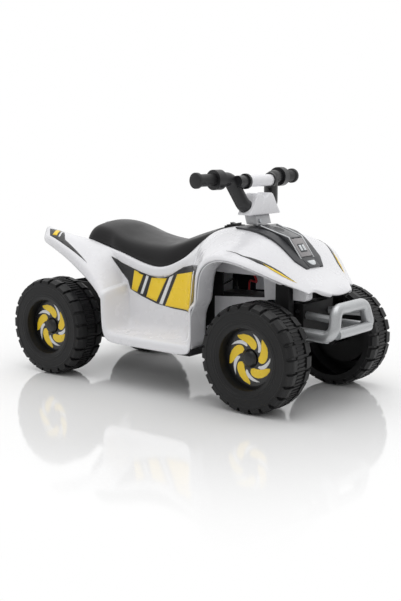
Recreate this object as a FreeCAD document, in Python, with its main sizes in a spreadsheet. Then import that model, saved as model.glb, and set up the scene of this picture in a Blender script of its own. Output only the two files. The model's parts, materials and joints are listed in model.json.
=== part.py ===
"""Kids ride-on quad bike, built as an assembly of separate moulded, turned and bent pieces.

Frame: +X forwards, +Y to the rider's left, +Z up. The origin lies on the ground under the
middle of the overall box. Sizes are in millimetres and degrees.
"""
import FreeCAD, Part
import math
import os
import re
from types import SimpleNamespace

import Sketcher
from FreeCAD import Placement, Rotation, Vector

# Driving sizes. Each is written once here and kept in the sheet; a size in words follows other sizes.
SIZES = {
    # fits
    "running_gap": 0.05, "fit_gap": 0.3,
    # top of the cowl, which the bonnet, console, switch and steering head follow
    "cowl_z": 304,
    # wheels and track
    "wheel_radius": 95, "wheel_width": 70, "wheel_plane": 136.5, "front_axle_x": 232, "wheelbase": 488,
    "axle_z": 95, "drawn_axle_x": -256, "drawn_wall_x": -108, "tyre_height": 41, "tread_height": 4,
    "tread_lugs": 24, "lug_length": 19, "lug_width": 21, "lug_slope": 11, "crown_height": 1.5,
    "crown_width": 20, "tyre_wall": 5, "sidewall_edge": 6, "rim_radius": "wheel_radius - tyre_height",
    "rim_depth": 20, "rim_taper": 2, "disc_thickness": 4.5, "hub_radius": 17, "hub_bore_radius": 8,
    "nut_pocket_radius": 10, "nut_pocket_depth": 12, "trim_radius": "rim_radius - sidewall_edge",
    "trim_thickness": 1.2, "cap_radius": 15, "cap_rim_height": 4, "cap_height": 9,
    # axles, knuckles and linkage
    "axle_radius": 5, "nut_radius": 7.5, "nut_length": 7, "axle_tail": 8, "kingpin_y": 88,
    "kingpin_radius": 6, "kingpin_head": 8, "knuckle_radius": 10, "knuckle_foot": 11, "arm_length": 40,
    "arm_thickness": 6, "arm_width": 14, "pin_radius": 4, "rod_thickness": 4, "rod_width": 14,
    "crank_play": 1.4, "crank_tail": 4,
    # steering column
    "steer_rake": 17, "column_radius": 6, "upper_bush_x": 141.618, "upper_bush_z": "cowl_z - 12",
    "stem_rise": 38, "steer_z": "upper_bush_z + stem_rise", "crank_z": 105.268, "column_top": 14,
    "column_foot": 16, "crank_bend": 9,
    "steer_x": "upper_bush_x - (steer_z - upper_bush_z) * tan(steer_rake)",
    "crank_drop": "(steer_z - crank_z) / cos(steer_rake)", "bush_wall": 3, "bush_flange": 2.5,
    "upper_bush_length": 10.5, "upper_flange_rise": 1.7,
    "lower_bush_length": 16,
    # handlebar
    "bar_radius": 13, "bar_bend": 17, "bar_foot_y": 22, "bar_foot_x": "steer_x + 6",
    "bar_foot_z": "steer_z + 11", "bar_knee_y": 41, "elbow_x": "steer_x - 10", "elbow_y": 64,
    "elbow_z": "steer_z + 62", "grip_end_x": "steer_x - 20", "grip_end_y": 152, "collar_radius": 18,
    "collar_length": 18, "collar_y": 89, "grip_radius": 11, "grip_flange_radius": 14,
    "grip_flange_length": 8, "crossbar_radius": 11, "crossbar_half": 36, "ring_radius": 14,
    "ring_length": 5.5, "crossbar_x": "steer_x + 6", "crossbar_z": "steer_z + 58", "clamp_base_half": 47,
    "clamp_top_half": 27, "clamp_base_z": "steer_z - 3", "clamp_top_z": "steer_z + 36", "clamp_depth": 30,
    "clamp_front_x": "steer_x + 24", "clamp_crown": 5, "stem_width": 44,
    "stem_rear": 9, "stem_front": 14, "stem_foot_z": "cowl_z + 5.5", "stem_screw_radius": 3.5,
    "stem_screw_length": 7, "stem_screw_drop": 19, "stem_screw_y": -12,
    "button_radius": 5, "button_length": 12, "button_proud": 5, "button_round": 1.5,
    # chassis tray
    "rear_axle_x": "front_axle_x - wheelbase", "tray_half_width": 54, "tray_wall": 4, "tray_bottom": 76,
    "tray_rear_x": "rear_axle_x - 50", "tray_front_x": 146, "tray_rear_bottom": 62, "tray_top": 122,
    "tray_rear_top": 172, "tray_step_x": "rear_axle_x + 56", "tray_rise_x": "rear_axle_x + 146",
    "sill_half_width": 118, "sill_rear_x": "rear_axle_x + 161", "sill_front_x": 62,
    "axle_boss_radius": 14, "axle_boss_end": 97, "bush_length": 20,
    # front beam
    "beam_rear_x": 214, "beam_front_x": 246, "beam_bottom": 106, "beam_top": 132, "beam_half": 80,
    "boss_radius": 12, "deck_thickness": 8, "deck_bottom": 110, "post_rear_x": 228, "post_front_x": 256,
    "post_width": 16, "post_top": "cowl_z - 86", "nose_block_x": 270, "nose_block_half": 48,
    "nose_block_top": 178,
    # bumper
    "bumper_front": 351, "bumper_radius": 10.5, "bumper_bend": 17, "rail_y": 59, "rail_z": 130,
    "hoop_base_y": 62, "hoop_base_z": 129, "hoop_top_y": 46, "hoop_top_z": 175, "hoop_lean": 5,
    "upper_rail_y": 36, "upper_rail_z": 158, "upper_rail_radius": 6.5, "crosspiece_radius": 9,
    "crosspiece_z": 134,
    # drive
    "gearbox_width": 34, "gearbox_radius": 27, "motor_x": "rear_axle_x + 18", "motor_z": 146,
    "motor_mount_radius": 21, "motor_radius": 14, "motor_length": 38, "motor_boss_radius": 5,
    "motor_boss_length": 3,
    # battery and leads
    "battery_length": 70, "battery_width": 47, "battery_height": 100, "battery_rear_x": 68,
    "terminal_length": 8, "terminal_width": 5, "terminal_height": 7, "lead_radius": 1.8, "lead_bend": 9,
    # body shell
    "wall": 3, "spine_half": 78, "floor_top": 97, "floor_bottom": 80, "footwell_y": 150,
    "rear_wall_x": "rear_axle_x + 148", "rear_wall_sweep": 14, "flare_x": 40, "front_wall_x": 104,
    "tail_x": "rear_axle_x + 24", "tail_bottom": 214, "rim_band": 16, "rim_proud": 2,
    "arch_wall_bottom": 110, "arch_wall_rear": 40, "bulkhead_top": 226, "window_rear": 95,
    "window_front": 188, "window_bottom": 184, "window_top": 216, "bracket_bottom": 184, "lip_drop": 12,
    "lip_flare": 3, "floor_corner": 16,
    # seat
    "seat_front_x": 64, "seat_hump_z": 298, "seat_side": 40, "seat_shoulder": 22, "seat_crown": 8,
    # console on the bonnet
    "console_rear_x": 119, "console_waist_x": 188, "console_cheek_x": 246, "console_front_x": 262,
    "console_rear_half": 45, "console_half": 50, "console_cheek_half": 42, "console_front_half": 27,
    "console_thickness": 3, "block_rear_x": 158, "block_front_x": 219, "block_nose_x": 240,
    "block_rear_half": 28, "block_front_half": 22, "block_rear_z": "cowl_z + 5",
    "block_front_z": "cowl_z - 14", "block_nose_z": "cowl_z - 53", "slot_width": 7, "slot_height": 16,
    "slot_pitch": 18, "slot_depth": 2, "lens_half": 18, "lens_length": 14,
    # controls and fasteners
    "switch_x": 86, "switch_length": 28, "switch_width": 20, "switch_top": "cowl_z + 1",
    "switch_bottom": "cowl_z - 21", "switch_flange": 3, "switch_flange_top": "cowl_z - 1",
    "rocker_length": 18, "rocker_width": 11, "rocker_room": 1.2, "rocker_pin_radius": 1.2,
    "rocker_pin_reach": 2.5, "rocker_pocket": 10, "rocker_base": 7, "rocker_dish": 1, "rocker_proud": 4,
    "rocker_drop": 4, "socket_radius": 9, "socket_y": -30, "socket_z": 150, "socket_depth": 12,
    "socket_bore": 3, "screw_radius": 4, "screw_head": 2.5, "screw_shank": 2, "screw_length": 10,
    "screw_z": 116, "screw_rear_x": 68, "screw_front_x": 130, "bumper_screw_x": 258,
    "bumper_screw_z": 165,
}

doc = FreeCAD.newDocument("quad_bike")
sheet = doc.addObject("Spreadsheet::Sheet", "Sizes")
for row, (size_name, amount) in enumerate(SIZES.items(), start=1):
    sheet.set(f"A{row}", size_name)
    sheet.set(f"B{row}", f"={amount}")
    sheet.setAlias(f"B{row}", size_name)
doc.recompute()
S = SimpleNamespace(**{size_name: float(sheet.get(size_name)) for size_name in SIZES})

AXIS_X = Vector(1, 0, 0)
AXIS_Y = Vector(0, 1, 0)
AXIS_Z = Vector(0, 0, 1)
SIDES = {"left": 1, "right": -1}
PIECES = []

# Places that several pieces share, worked out from the sizes.
OUTER_FACE = S.wheel_plane + S.wheel_width / 2
INNER_FACE = S.wheel_plane - S.wheel_width / 2
DISC_FACE = OUTER_FACE - S.rim_depth
NUT_SEAT = DISC_FACE - S.nut_pocket_depth
RAKE = math.radians(S.steer_rake)
STEER_POINT = Vector(S.steer_x, 0, S.steer_z)
STEER_AXIS = Vector(-math.sin(RAKE), 0, math.cos(RAKE))


def bound(formula):
    """Formula in the sheet's own names, as an expression that follows the sheet."""
    return re.sub(r"[a-z_]+", lambda word: f"Sizes.{word[0]}" if word[0] in SIZES else word[0], formula)


def number(formula):
    """Present value of a formula in the sheet's names."""
    return float(sheet.evalExpression(bound(formula)))


def piece(item, label):
    """Register a document object as one separate piece under its name."""
    item.Label = label
    PIECES.append(item)
    return item


def shaped(label, shape):
    """A piece whose free-form shape is worked out from the sheet's values."""
    item = doc.addObject("Part::Feature", label)
    item.Shape = shape
    return piece(item, label)


def plane_of(body, role):
    """One of a body's own origin planes."""
    return next(feature for feature in body.Origin.OriginFeatures if feature.Role == role)


def bind_point(sketch, index, corner):
    """Tie the start of one sketch line to a pair of formulas."""
    for kind, formula in zip(("DistanceX", "DistanceY"), corner):
        spot = Sketcher.Constraint(kind, -1, 1, index, 1, number(formula))
        sketch.setExpression(f"Constraints[{sketch.addConstraint(spot)}]", bound(formula))


def outline(body, role, *loops):
    """Sketch of closed loops of straight lines whose corners are pairs of formulas."""
    sketch = body.newObject("Sketcher::SketchObject", "outline")
    sketch.AttachmentSupport = [(plane_of(body, role), "")]
    sketch.MapMode = "FlatFace"
    for corners in loops:
        first = sketch.GeometryCount
        spots = [Vector(number(u), number(v), 0) for u, v in corners]
        count = len(spots)
        for step in range(count):
            sketch.addGeometry(Part.LineSegment(spots[step], spots[(step + 1) % count]), False)
        for step in range(count):
            follower = first + (step + 1) % count
            sketch.addConstraint(Sketcher.Constraint("Coincident", first + step, 2, follower, 1))
        for step, corner in enumerate(corners):
            bind_point(sketch, first + step, corner)
    return sketch


def ring(body, role, centre, radius):
    """Sketch of one circle, its centre and radius given as formulas."""
    sketch = body.newObject("Sketcher::SketchObject", "ring")
    sketch.AttachmentSupport = [(plane_of(body, role), "")]
    sketch.MapMode = "FlatFace"
    middle = Vector(number(centre[0]), number(centre[1]), 0)
    sketch.addGeometry(Part.Circle(middle, AXIS_Z, number(radius)), False)
    for kind, formula in zip(("DistanceX", "DistanceY"), centre):
        spot = Sketcher.Constraint(kind, -1, 1, 0, 3, number(formula))
        sketch.setExpression(f"Constraints[{sketch.addConstraint(spot)}]", bound(formula))
    size = sketch.addConstraint(Sketcher.Constraint("Radius", 0, number(radius)))
    sketch.setExpression(f"Constraints[{size}]", bound(radius))
    return sketch


def pad(body, sketch, length):
    """Add material evenly to both sides of a sketch."""
    feature = body.newObject("PartDesign::Pad", "pad")
    feature.Profile = sketch
    feature.SideType = "Symmetric"
    feature.setExpression("Length", bound(length))
    doc.recompute()
    return feature


def pocket(body, sketch, length):
    """Remove material evenly from both sides of a sketch, and check that something went."""
    before = body.Shape.Volume
    feature = body.newObject("PartDesign::Pocket", "pocket")
    feature.Profile = sketch
    feature.SideType = "Symmetric"
    feature.setExpression("Length", bound(length))
    doc.recompute()
    if not body.Shape.Volume < before:
        raise ValueError(f"{body.Label}: a pocket cuts nothing")
    return feature


def turned(label, corners):
    """Body turned about its own Z axis from corners of radius and height."""
    body = doc.addObject("PartDesign::Body", label)
    sketch = outline(body, "XZ_Plane", corners)
    feature = body.newObject("PartDesign::Revolution", "turn")
    feature.Profile = sketch
    feature.ReferenceAxis = (sketch, ["V_Axis"])
    feature.Angle = 360
    doc.recompute()
    return body, sketch


def cylinder(name, radius, height, base, axis):
    """Round bar whose radius and height are formulas, standing on base along axis."""
    item = doc.addObject("Part::Cylinder", name)
    item.setExpression("Radius", bound(radius))
    item.setExpression("Height", bound(height))
    item.Placement = Placement(base, Rotation(AXIS_Z, axis))
    return item


def block(name, length, width, height, corner):
    """Box whose three sides are formulas, with its lowest corner at a point."""
    item = doc.addObject("Part::Box", name)
    item.setExpression("Length", bound(length))
    item.setExpression("Width", bound(width))
    item.setExpression("Height", bound(height))
    item.Placement = Placement(corner, Rotation())
    return item


def joined(label, items):
    """Several solids joined into one."""
    item = doc.addObject("Part::MultiFuse", label)
    item.Shapes = items
    item.Refine = True
    return item


def cut(label, base, tool):
    """One solid less another."""
    item = doc.addObject("Part::Cut", label)
    item.Base = base
    item.Tool = tool
    item.Refine = True
    return item


def spline(points):
    """Smooth edge through points."""
    curve = Part.BSplineCurve()
    curve.interpolate([Vector(*point) for point in points])
    return curve.toShape()


def bent_wire(points, bend):
    """Straight runs joined by tangent arcs, as a rod or tube is bent."""
    spots = [Vector(*point) for point in points]
    edges = []
    start = spots[0]
    for before, corner, after in zip(spots, spots[1:], spots[2:]):
        into = (before - corner).normalize()
        out = (after - corner).normalize()
        half = into.getAngle(out) / 2
        reach = bend / math.tan(half)
        middle = corner + (into + out).normalize() * (bend / math.sin(half) - bend)
        first = corner + into * reach
        last = corner + out * reach
        edges.append(Part.LineSegment(start, first).toShape())
        edges.append(Part.Arc(first, middle, last).toShape())
        start = last
    edges.append(Part.LineSegment(start, spots[-1]).toShape())
    return Part.Wire(edges)


def tube_along(points, bend, radius):
    """Solid round bar swept along a bent wire."""
    path = bent_wire(points, bend)
    heading = Vector(*points[1]) - Vector(*points[0])
    section = Part.Wire(Part.Circle(Vector(*points[0]), heading, radius).toShape())
    return path.makePipeShell([section], True, False)


def mirrored(shape):
    """The same shape on the other side of the middle plane."""
    return shape.mirror(Vector(0, 0, 0), AXIS_Y)


def prism(points, depth, axis):
    """Straight-sided outline in space, swept by depth along axis."""
    return Part.Face(Part.makePolygon([Vector(*point) for point in points + points[:1]])).extrude(axis * depth)


def body_x(drawn):
    """Place along the body for a drawn one: the tail keeps to the rear axle, the footwells take the rest."""
    share = (S.flare_x - drawn) / (S.flare_x - S.drawn_wall_x)
    return drawn + min(max(share, 0), 1) * (S.rear_axle_x - S.drawn_axle_x)


def column_x(height):
    """Where the raked steering axis stands at a height."""
    return S.steer_x + (S.steer_z - height) * math.tan(RAKE)


# Bonnet sections from the cowl to the nose: station, then half of the outer line from the middle out,
# each spot as its distance from the middle and its drop below the cowl's top.
BONNET_DROPS = (
    (44, (0, 16), (34, 17), (60, 32), (86, 66)),
    (70, (0, 7), (42, 8), (78, 22), (122, 63)),
    (104, (0, 0), (47, 1), (98, 15), (154, 50)),
    (150, (0, 1), (49, 4), (102, 13), (156, 30)),
    (190, (0, 8), (50, 12), (101, 23), (154, 40)),
    (228, (0, 36), (46, 37), (88, 44), (130, 57)),
    (258, (0, 64), (38, 65), (69, 68), (103, 75)),
    (288, (0, 84), (30, 85), (54, 87), (77, 92)),
    (314, (0, 103), (17, 103), (31, 104), (42, 105)),
)
BONNET = tuple((x, *((y, S.cowl_z - drop) for y, drop in spots)) for x, *spots in BONNET_DROPS)
# Rear fender sections from the footwell to the tip: station, root, crease and lower edge of the lip.
REAR_FENDER = (
    (-124, (76, 186), (150, 177), (150, 170)),
    (-160, (76, 246), (141, 203), (141, 190)),
    (-225, (69, 259), (127, 240), (127, 226)),
    (-298, (80, 273), (116, 265), (116, 252)),
    (-316, (84, 279), (110, 269), (111, 258)),
    (-331, (86, 282), (94, 279), (95, 271)),
)
# Seat rim on the side of the spine, from the tail to the cowl.
SEAT_RIM = tuple((body_x(x), z) for x, z in (
    (-232, 262), (-152, 246), (-60, 219), (-36, 216), (-12, 221), (24, 242), (43.7, 264)))
# Seat sections from the tail to the nose: station, half width and height of the middle.
SEAT = (
    (-230, 52, 276), (-216, 60, 296), (-185, 68, 299), (-155, 74, 293), (-120, 75, 280),
    (-80, 75, 271), (-37, 75, 269.5), (9, 68, 284), (36, 55, 293), (64, 40, 301),
)
# Ways of the leads between their ends, clipped under the cowl and along the tray.
RED_ROUTE = ((166, -38, S.cowl_z - 98), (146, -42, S.cowl_z - 64), (104, -20, S.cowl_z - 42))
BLACK_ROUTE = ((40, 24, 186), (-46, 40, 140), (-104, 40, 132), (-160, 8, 140), (-206, -40, 146))


def loft(rings):
    """Smooth solid through closed rings of straight lines."""
    wires = [Part.makePolygon([Vector(*spot) for spot in corners + corners[:1]]) for corners in rings]
    return Part.makeLoft(wires, True, False, False, 3)


def both_sides(station, spots, lift):
    """Line across the vehicle at a station, from the right edge to the left one, raised by lift."""
    left = [(station, y, z + lift) for y, z in spots]
    return [(station, -y, z) for station, y, z in reversed(left[1:])] + left


def bonnet_ring(station, *spots):
    """Closed section of the bonnet's wall with its hanging lips."""
    top = both_sides(station, spots, 0)
    inset = [(max(y - S.wall, 0), z) for y, z in spots]
    low = both_sides(station, inset, -S.wall)
    edge_y, edge_z = spots[-1]
    left_lip = [(station, edge_y + S.lip_flare, edge_z - S.lip_drop),
                (station, edge_y + S.lip_flare - S.wall, edge_z - S.lip_drop)]
    right_lip = [(x, -y, z) for x, y, z in reversed(left_lip)]
    return top + left_lip + low[::-1] + right_lip


def under_bonnet(lift, inset):
    """Everything below the bonnet's outer line raised by lift, set in at the sides."""
    rings = []
    for station, *spots in BONNET:
        narrowed = [(max(y - inset, 0), z) for y, z in spots]
        top = both_sides(station, narrowed, lift)
        rings.append(top + [(station, top[-1][1], S.floor_bottom), (station, top[0][1], S.floor_bottom)])
    return loft(rings)


def rim_prism(low_shift, top_shift, half_width):
    """Solid across the spine between two copies of the seat rim's curve."""
    top = spline([(x, -half_width, z + top_shift) for x, z in SEAT_RIM])
    face = Part.makeRuledSurface(top, top.translated(Vector(0, 0, low_shift - top_shift)))
    return face.extrude(Vector(0, 2 * half_width, 0))


def spine_shell():
    """Hollow middle of the body under the seat, open below and to the front."""
    deep = -S.seat_hump_z
    outer = rim_prism(deep, 0, S.spine_half)
    inner = rim_prism(2 * deep, -S.wall, S.spine_half - S.wall)
    tail = Part.makeBox(S.wall, 2 * S.spine_half, S.seat_hump_z, Vector(S.tail_x, -S.spine_half, 0))
    side = 2 * S.spine_half
    front = S.seat_front_x
    rear_corner = S.rear_wall_x - S.rear_wall_sweep
    below = prism([
        (S.tail_x - side, -side, S.tail_bottom), (S.tail_x - side, -side, -side), (front, -side, -side),
        (front, -side, S.floor_bottom), (rear_corner, -side, S.floor_bottom), (S.tail_x, -side, S.tail_bottom),
    ], 2 * side, AXIS_Y)
    return outer.cut(inner.cut(tail)).cut(below)


def rim_bands():
    """Raised band below the seat's edge, on both sides."""
    band = rim_prism(-S.rim_band, 0, S.spine_half + S.rim_proud)
    core = rim_prism(-2 * S.rim_band, S.rim_band, S.spine_half - S.wall)
    return band.cut(core)


def footwell(roof):
    """Left footwell: floor with its skirt, rear wall, and the flared leg guard up to the bonnet."""
    inner = S.spine_half - S.wall
    outer = S.footwell_y
    low = S.floor_bottom
    tall = S.floor_top - low
    rear_corner = S.rear_wall_x - S.rear_wall_sweep
    plan = [(S.rear_wall_x, inner, low), (rear_corner, outer, low),
            (S.front_wall_x, outer, low), (S.flare_x, inner, low)]
    floor = prism(plan, tall, AXIS_Z)
    upright = [edge for edge in floor.Edges
               if edge.BoundBox.ZLength > tall / 2 and edge.BoundBox.YMax > outer - S.wall]
    floor = floor.makeFillet(S.floor_corner, upright)
    hollow = prism([
        (S.rear_wall_x, inner, low), (rear_corner + S.floor_corner, outer - S.wall, low),
        (S.front_wall_x - S.floor_corner, outer - S.wall, low), (S.flare_x, inner, low),
    ], tall - S.wall, AXIS_Z)
    _, root, crease, _ = REAR_FENDER[0]
    rear_wall = loft([
        [(x, y, bottom), (x, y, top), (x - S.wall, y, top), (x - S.wall, y, bottom)]
        for x, y, bottom, top in (
            (S.rear_wall_x, inner, low, root[1]), (rear_corner, outer, low, crease[1]))
    ])
    guard = prism([
        (S.flare_x, inner, low), (S.front_wall_x, outer, low),
        (S.front_wall_x - S.wall, outer, low), (S.flare_x - S.wall, inner, low),
    ], S.seat_hump_z, AXIS_Z)
    return [floor.cut(hollow), rear_wall, guard.common(roof)]


def rear_fender():
    """Left rear fender: swept top with a hanging lip, narrowing to the tail wing's tip."""
    rings = []
    for drawn, (root_y, root_z), (y, z), (lip_y, lip_z) in REAR_FENDER:
        x = body_x(drawn)
        rings.append([
            (x, root_y, root_z), (x, y, z), (x, lip_y, lip_z), (x, lip_y - S.wall, lip_z),
            (x, y - S.wall, z - S.wall), (x, root_y, root_z - S.wall),
        ])
    return loft(rings)


def arch_wall(roof):
    """Left inner wall of the front wheel arch, with its window, and the bulkhead behind it."""
    near = S.tray_half_width + S.fit_gap
    high = S.seat_hump_z
    front = S.post_rear_x - S.fit_gap
    panel = prism([
        (S.arch_wall_rear, near, S.arch_wall_bottom), (S.window_front, near, S.arch_wall_bottom),
        (S.window_front, near, S.bracket_bottom - S.wall), (front, near, S.bracket_bottom),
        (front, near, high), (S.arch_wall_rear, near, high),
    ], S.wall, AXIS_Y)
    window = prism([
        (S.window_rear, 0, S.window_bottom), (S.window_front - S.wall, 0, S.window_bottom),
        (S.window_front - S.wall, 0, S.window_top), (S.window_rear, 0, S.window_top),
    ], S.footwell_y, AXIS_Y)
    bulkhead = Part.makeBox(2 * S.wall, S.spine_half + 2 * S.wall - near, S.bulkhead_top - S.floor_bottom,
                            Vector(S.arch_wall_rear, near, S.floor_bottom))
    panel = panel.cut(window).common(roof)
    for x in (S.screw_rear_x, S.screw_front_x):
        panel = panel.cut(Part.makeCylinder(S.screw_shank, S.footwell_y, Vector(x, 0, S.screw_z), AXIS_Y))
    return [panel, bulkhead]


def one_solid(shape):
    """The single solid of a joined shape, or an error that says how many there are."""
    if len(shape.Solids) != 1:
        raise ValueError(f"{len(shape.Solids)} solids where one is expected")
    return shape.Solids[0]


def make_body():
    """White body: spine under the seat, footwells, leg guards, arch walls and rear fenders."""
    roof = under_bonnet(-S.wall - S.fit_gap, S.wall + S.fit_gap)
    half = footwell(roof) + arch_wall(roof) + [rear_fender()]
    walls = [rim_bands()] + half + [mirrored(wall) for wall in half]
    shaped("body_shell", one_solid(spine_shell().multiFuse(walls)))


def largest(shape):
    """The biggest solid of a shape from which trimming left chips."""
    return max(shape.Solids, key=lambda solid: solid.Volume)


def upper_bush_hole():
    """Round hole for the steering column's upper bearing."""
    return Part.makeCylinder(S.column_radius + S.bush_wall + S.running_gap, S.seat_hump_z,
                             STEER_POINT - STEER_AXIS * S.seat_hump_z / 2, STEER_AXIS)


def switch_box(grow, height):
    """Upright box round the direction switch's body, grown all round."""
    length = S.switch_length + 2 * grow
    width = S.switch_width + 2 * grow
    return Part.makeBox(length, width, height, Vector(S.switch_x - length / 2, -width / 2, S.switch_bottom))


def make_bonnet():
    """White front cover: cowl, bonnet, front fenders and nose in one thin wall."""
    wall = loft([bonnet_ring(station, *spots) for station, *spots in BONNET])
    shaped("bonnet", one_solid(wall.cut(upper_bush_hole()).cut(switch_box(S.fit_gap, S.seat_hump_z))))


def make_seat():
    """Black saddle: crowned, dipped for the rider, set on the rim and up against the cowl."""
    rings = []
    for drawn, half, top in SEAT:
        x = body_x(drawn)
        section = [(half, S.floor_bottom), (half, top - S.seat_side),
                   (half - S.seat_shoulder, top - S.seat_crown), (half / 4, top)]
        right = [(x, -y, z) for y, z in section]
        rings.append(right + [(x, y, z) for y, z in reversed(section)])
    seat = loft(rings).cut(rim_prism(-2 * S.seat_hump_z, S.fit_gap, S.footwell_y))
    seat = seat.cut(under_bonnet(S.fit_gap, 0))
    front = Part.makeBox(S.seat_front_x, 2 * S.footwell_y, S.bulkhead_top,
                         Vector(SEAT_RIM[-1][0], -S.footwell_y, 0))
    shaped("seat", largest(seat.cut(front)))


def console_outline():
    """Plan of the charcoal strip, as an upright solid."""
    low = S.floor_bottom
    left = [(S.console_rear_x, S.console_rear_half, low), (S.console_waist_x, S.console_half, low),
            (S.console_cheek_x, S.console_cheek_half, low), (S.console_front_x, S.console_front_half, low)]
    return prism(left + [(x, -y, z) for x, y, z in reversed(left)], S.seat_hump_z, AXIS_Z)


def headlight_plan():
    """Plan of the headlight block on the console, as an upright solid."""
    low = S.floor_bottom
    left = [(S.block_rear_x, S.block_rear_half, low), (S.block_nose_x, S.block_front_half, low)]
    return prism(left + [(x, -y, z) for x, y, z in reversed(left)], S.seat_hump_z, AXIS_Z)


def make_console():
    """Charcoal strip on the bonnet, the headlight block on it and the lens at its front end."""
    base = under_bonnet(S.fit_gap, 0)
    strip = under_bonnet(S.fit_gap + S.console_thickness, 0).common(console_outline()).cut(base)
    lens_bed = Part.makeBox(S.wheelbase, 2 * S.lens_half, S.wheelbase,
                            Vector(S.console_front_x - S.lens_length, -S.lens_half, 0))
    shaped("console_panel", largest(strip.cut(upper_bush_hole()).cut(lens_bed)))
    lens = under_bonnet(S.fit_gap + 2 * S.console_thickness, 0).cut(base)
    shaped("headlight_lens", one_solid(lens.common(lens_bed).common(console_outline())))
    side = prism([
        (S.block_rear_x, -S.wheelbase, S.floor_bottom), (S.block_rear_x, -S.wheelbase, S.block_rear_z),
        (S.block_front_x, -S.wheelbase, S.block_front_z), (S.block_nose_x, -S.wheelbase, S.block_nose_z),
        (S.block_nose_x, -S.wheelbase, S.floor_bottom),
    ], 2 * S.wheelbase, AXIS_Y)
    lamp = largest(side.common(headlight_plan()).cut(under_bonnet(2 * S.fit_gap + S.console_thickness, 0)))
    slope = Vector(S.block_nose_x - S.block_front_x, 0, S.block_nose_z - S.block_front_z)
    top_edge = Vector(S.block_front_x, 0, S.block_front_z)
    for hand in SIDES.values():
        slot = Part.makeBox(2 * S.slot_depth, S.slot_width, S.slot_height,
                            Vector(-S.slot_depth, -S.slot_width / 2, S.slot_depth))
        slot.Placement = Placement(top_edge + AXIS_Y * (hand * S.slot_pitch / 2), Rotation(AXIS_Z, slope))
        lamp = lamp.cut(slot)
    shaped("headlight_block", one_solid(lamp))


def make_wheel(label, place):
    """Moulded wheel, open at the back, with shoulder lugs; its axis is local Z, outwards."""
    half = "wheel_width / 2"
    tyre = "wheel_radius - tread_height"
    face = f"{half} - rim_depth"
    body, profile = turned(f"wheel_{label}", [
        ("hub_bore_radius", f"-{half}"), ("hub_radius", f"-{half}"),
        ("hub_radius", f"{face} - disc_thickness"),
        ("rim_radius - rim_taper + disc_thickness", f"{face} - disc_thickness"),
        ("rim_radius + sidewall_edge", f"{half} - tyre_wall"),
        (f"{tyre} - tyre_wall - lug_slope", f"{half} - tyre_wall"),
        (f"{tyre} - tyre_wall", f"{half} - tyre_wall - lug_slope"),
        (f"{tyre} - tyre_wall", f"-{half} + lug_slope"), (f"{tyre} - tyre_wall - lug_slope", f"-{half}"),
        (f"{tyre} - sidewall_edge", f"-{half}"), (tyre, f"-{half} + lug_slope"),
        (tyre, "-crown_width / 2"), (f"{tyre} + crown_height", "-crown_width / 2"),
        (f"{tyre} + crown_height", "crown_width / 2"), (tyre, "crown_width / 2"),
        (tyre, f"{half} - lug_slope"), (f"{tyre} - sidewall_edge", half),
        ("rim_radius + sidewall_edge", half), ("rim_radius", f"{half} - rim_taper"),
        ("rim_radius - rim_taper", face), ("nut_pocket_radius", face),
        ("nut_pocket_radius", f"{face} - nut_pocket_depth"), ("hub_bore_radius", f"{face} - nut_pocket_depth"),
    ])
    loops = []
    for sign in ("", "-"):
        loops.append([
            (f"{tyre} - tread_height / 2", f"{sign}({half} - lug_width)"),
            ("wheel_radius", f"{sign}({half} - lug_width)"),
            ("wheel_radius", f"{sign}({half} - lug_slope)"),
            (f"{tyre} - tread_height / 2", f"{sign}({half} - lug_slope / 3)"),
        ])
    lugs = pad(body, outline(body, "XZ_Plane", *loops), "lug_length")
    pattern = body.newObject("PartDesign::PolarPattern", "lugs")
    pattern.Originals = [lugs]
    pattern.Axis = (profile, ["V_Axis"])
    pattern.Angle = 360
    pattern.setExpression("Occurrences", bound("tread_lugs"))
    body.Tip = pattern
    body.Placement = place
    piece(body, f"wheel_{label}")


def make_wheel_trim(label, place):
    """Flat trim ring in the wheel's dish and the domed hub cap over the nut."""
    face = "wheel_width / 2 - rim_depth"
    trim, _ = turned(f"trim_{label}", [
        ("cap_radius + trim_thickness", face), ("trim_radius", face),
        ("trim_radius", f"{face} + trim_thickness"),
        ("cap_radius + trim_thickness", f"{face} + trim_thickness"),
    ])
    trim.Placement = place
    piece(trim, f"trim_{label}")
    cap, _ = turned(f"hub_cap_{label}", [
        ("0", face), ("cap_radius", face), ("cap_radius", f"{face} + cap_rim_height"),
        ("cap_radius * 0.8", f"{face} + cap_height * 0.8"), ("cap_radius * 0.4", f"{face} + cap_height * 0.97"),
        ("0", f"{face} + cap_height"),
    ])
    cap.Placement = place
    piece(cap, f"hub_cap_{label}")


def make_wheels():
    """Four equal wheels, with plain bushes in the two that turn on their stub axles."""
    for end, x in (("front", S.front_axle_x), ("rear", S.rear_axle_x)):
        for name, side in SIDES.items():
            label = f"{end}_{name}"
            place = Placement(Vector(x, side * S.wheel_plane, S.axle_z), Rotation(AXIS_Z, AXIS_Y * side))
            make_wheel(label, place)
            make_wheel_trim(label, place)
            if end == "front":
                low = "-wheel_width / 2"
                top = "wheel_width / 2 - rim_depth - nut_pocket_depth"
                bush, _ = turned(f"bush_{label}", [
                    ("axle_radius + running_gap", low), ("hub_bore_radius", low),
                    ("hub_bore_radius", top), ("axle_radius + running_gap", top),
                ])
                bush.Placement = place
                piece(bush, f"bush_{label}")


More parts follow.
